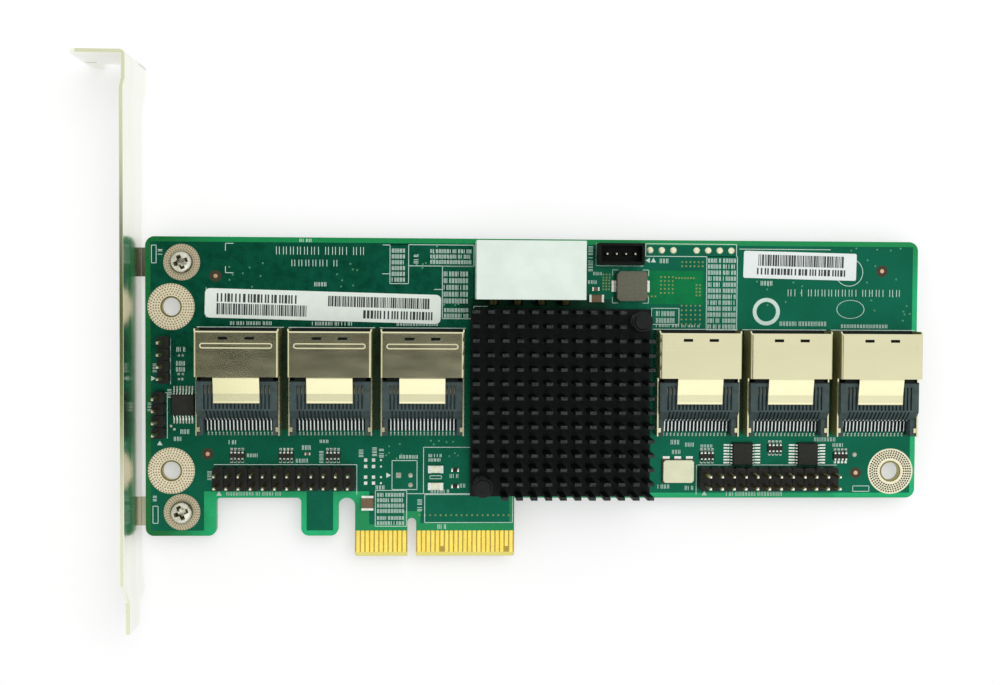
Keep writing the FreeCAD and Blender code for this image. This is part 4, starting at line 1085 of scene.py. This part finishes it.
class Print:
    """White print: lines, frames, triangles and rows of plain bars where the photo has lettering."""

    def __init__(self):
        self.form = Form()

    def bar(self, x0, y0, x1, y1):
        self.form.box(x0, x1, y0, y1, 0, SILK)

    def across(self, x0, x1, y):
        self.bar(x0, y - PRINT_LINE / 2, x1, y + PRINT_LINE / 2)

    def upright(self, x, y0, y1):
        self.bar(x - PRINT_LINE / 2, y0, x + PRINT_LINE / 2, y1)

    def frame(self, x0, x1, y0, y1):
        for y in (y0, y1):
            self.across(x0, x1, y)
        for x in (x0, x1):
            self.upright(x, y0, y1)

    def corners(self, x0, x1, y0, y1, arm):
        for x in (x0, x1):
            for low, high in ((y0, y0 + arm), (y1 - arm, y1)):
                self.upright(x, low, high)
        for y in (y0, y1):
            for low, high in ((x0, x0 + arm), (x1 - arm, x1)):
                self.across(low, high, y)

    def triangle(self, x, y, size, turn):
        corners = [(x + size * cos(turn + a), y + size * sin(turn + a))
                   for a in (0, 2 * pi / 3, 4 * pi / 3)]
        self.form.prism(corners, "z", 0, SILK)

    def ring(self, x, y, inner, outer, flat):
        circles = [round_outline(0, 0, radius, 48) for radius in (outer, inner)]
        self.form.sheet([[(x + u, y + flat * v) for u, v in circle] for circle in circles], 0, SILK)

    def words(self, left, low, letters, height, rows=1, stood=False, pitch=0.7):
        """Rows of paired thin strokes with a gap here and there, across the board or up it."""
        start, foot = (low, left) if stood else (left, low)
        step = height / rows
        tall = step * (0.72 if rows > 1 else 1.0)
        for base in (foot + r * step for r in range(rows)):
            for i in range(letters):
                count = chance.choice((1, 2, 2, 2, 2, 2, 2))
                for at in (start + i * pitch + k * pitch * 0.42 for k in range(count)):
                    if stood:
                        self.bar(base, at, base + tall, at + PRINT_LINE)
                    else:
                        self.bar(at, base, at + PRINT_LINE, base + tall)


white = Print()
for x in PORTS:
    white.across(x - NAME_LINE_HALF, x + NAME_LINE_HALF, NAME_LINE_Y)
for block in WORDS:
    white.words(*block)
for block in TITLES:
    white.words(*block, pitch=1.5)
for block in LISTS:
    white.words(*block, pitch=0.6)
for block in UPRIGHT_WORDS:
    white.words(*block, stood=True)
for box in FRAMES:
    white.frame(*box)
white.corners(*INDUCTOR_MARKS, MARK_ARM)
for line in LEVEL_LINES:
    white.across(*line)
for line in UPRIGHT_LINES:
    white.upright(*line)
for x, y, turn in TRIANGLES:
    white.triangle(x, y, TRIANGLE_SIZE, turn * pi)
for ring in RINGS:
    white.ring(*ring)
piece("white_print", white.form, silk)


# Paper labels: plain bars only

# Length, width and lean; then the widths of a row's bars and gaps
LABELS = {"label_left": (50.6, 6.3, -1.35), "label_right": (24.9, 5.9, -1.2)}
CODE = ((0.17, 0.17, 0.31, 0.42), (0.12, 0.14, 0.22))
BOLD = ((0.34, 0.34, 0.56), (0.24, 0.24, 0.5))
INK = 0.01


def on_label(node, points):
    """Points of a label's own length and width, put on the board."""
    lean = Matrix.Rotation(radians(LABELS[node][2]), 2)
    return [tuple(Vector(middle(node)) + lean @ Vector(p)) for p in points]


def label_sheet(node, radius):
    """A label with round corners."""
    length, width, _ = LABELS[node]
    outline = []
    for turn, sx, sy in ((0, 1, 1), (90, -1, 1), (180, -1, -1), (270, 1, -1)):
        outline += arc(sx * (length / 2 - radius), sy * (width / 2 - radius), radius, turn, turn + 90, 6)
    return Form().prism(on_label(node, outline), "z", 0, reach(node)[1][2])


def label_bars(node, rows):
    """Rows of bars, each with its start, end, low and high as shares of the label's length and width."""
    length, width, _ = LABELS[node]
    top = reach(node)[1][2]
    bars = Form()
    for u0, u1, v0, v1, widths, gaps in rows:
        at, end = u0 * length, u1 * length
        while at < end:
            wide = chance.choice(widths)
            bar = on_label(node, rect(at, v0 * width, at + wide, v1 * width))
            bars.prism(bar, "z", top - INK, top + INK)
            at += wide + chance.choice(gaps)
    return bars


left_rows = ((-0.45, -0.12, 0.05, 0.34, *BOLD), (-0.45, -0.07, -0.38, 0.0, *CODE),
             (0.02, 0.45, 0.0, 0.36, *CODE), (0.17, 0.46, -0.38, -0.1, *BOLD))
right_rows = ((-0.37, 0.39, -0.04, 0.38, *CODE), (-0.38, 0.41, -0.36, -0.12, *BOLD))
for node, look, radius, rows in (("label_left", mint_paper, 1.1, left_rows),
                                 ("label_right", paper, 0.4, right_rows)):
    piece(f"{node}_rounded", label_sheet(node, radius), look, [node])
    piece(f"{node}_bars", label_bars(node, rows), ink)


# Floor, light and camera, in metres

FLOOR_Z = cad_box[0].z - 0.00002
FLOOR_HALF, CARD_HEIGHT = 1.5, 0.4
FLOOR_GLOW, WORLD_LIGHT, WHITE = 0.36, 0.6, (1, 1, 1, 1)
KEY_PLACE, KEY_AIM, KEY_WATTS, KEY_SIZE = (0.15, 0.2, 0.6), (0.02, 0.035, 0), 1.4, 0.5


def flat_square(name, x0, x1, y0, y1, z):
    """A flat square."""
    data = bpy.data.meshes.new(name)
    data.from_pydata([(x0, y0, z), (x1, y0, z), (x1, y1, z), (x0, y1, z)], [], [(0, 1, 2, 3)])
    thing = bpy.data.objects.new(name, data)
    scene.collection.objects.link(thing)
    return thing


def seen_directly(tree):
    """1 for rays from the camera, mirrors and clear material, else 0."""
    path = added(tree, "LightPath", {}).outputs
    mirrored = worked("MAXIMUM", path["Is Camera Ray"], path["Is Glossy Ray"])
    return worked("MAXIMUM", mirrored, path["Is Transmission Ray"])


def floor_look():
    """Pale floor that keeps the shadow and is bright to the eye."""
    look, shader = start_look("pale_floor")
    glow = spread(seen_directly(look.node_tree), 0, 1, 0, FLOOR_GLOW)
    put(shader, {"Base Color": (0.78, 0.78, 0.78, 1), "Roughness": 0.9, "Specular IOR Level": 0.0,
                 "Emission Color": WHITE, "Emission Strength": glow})
    return look


def white_world():
    """White to the eye and to mirrors, dimmer as a light."""
    world = bpy.data.worlds.new("studio")
    world.use_nodes = True
    light = spread(seen_directly(world.node_tree), 0, 1, WORLD_LIGHT, 1.0)
    put(world.node_tree.nodes["Background"], {"Color": WHITE, "Strength": light})
    scene.world = world


def mirror_card(name, colour, strength, x0, x1, y0, y1):
    """A card above the object that only mirrors see."""
    look, shader = start_look(name)
    put(shader, {"Base Color": (0, 0, 0, 1), "Specular IOR Level": 0.0, "Emission Color": (*colour, 1),
                 "Emission Strength": strength})
    card = flat_square(name, x0, x1, y0, y1, CARD_HEIGHT)
    card.data.materials.append(look)
    card.visible_camera = card.visible_diffuse = card.visible_shadow = card.visible_transmission = False


floor = flat_square("floor", -FLOOR_HALF, FLOOR_HALF, -FLOOR_HALF, FLOOR_HALF, FLOOR_Z)
floor.data.materials.append(floor_look())
white_world()
mirror_card("grey_card", (0.02, 0.025, 0.02), 1.0, -0.25, 0.065, -0.012, 0.1)
mirror_card("beige_card_high", (0.72, 0.72, 0.52), 1.0, -0.25, -0.09, 0.1, 0.22)
mirror_card("beige_card_low", (0.78, 0.78, 0.62), 1.0, -0.25, -0.11, -0.3, -0.02)
mirror_card("bright_card", (1, 1, 1), 1.4, -0.11, 0.35, -0.35, -0.058)

lamp = bpy.data.lights.new("key", "AREA")
lamp.energy, lamp.size = KEY_WATTS, KEY_SIZE
key = bpy.data.objects.new("key", lamp)
key.location = KEY_PLACE
key.rotation_euler = (Vector(KEY_AIM) - key.location).to_track_quat("-Z", "Y").to_euler()
key.visible_glossy = False
scene.collection.objects.link(key)

# Camera fitted to the photo: place in millimetres, turns in degrees, focal length in photo pixels
CAMERA_PLACE = (4.665, 57.428, 310.008)
CAMERA_TURNS = (2.0206, 2.6341, -0.2663)
FOCAL_PIXELS, PHOTO_WIDTH, SENSOR = 1432.89, 1000, 36.0
lens_data = bpy.data.cameras.new("photo")
lens_data.sensor_width, lens_data.sensor_fit = SENSOR, "HORIZONTAL"
lens_data.lens = FOCAL_PIXELS / PHOTO_WIDTH * SENSOR
lens_data.clip_start, lens_data.clip_end = 0.01, 10
camera = bpy.data.objects.new("photo", lens_data)
tilt, swing, roll = (radians(d) for d in CAMERA_TURNS)
to_camera = Matrix.Rotation(roll, 3, "Z") @ Matrix.Rotation(swing, 3, "Y") @ Matrix.Rotation(tilt, 3, "X")
camera.matrix_world = Matrix.Translation(Vector(CAMERA_PLACE) * MM) @ to_camera.transposed().to_4x4()
scene.collection.objects.link(camera)
scene.camera = camera
scene.view_settings.view_transform = "Standard"
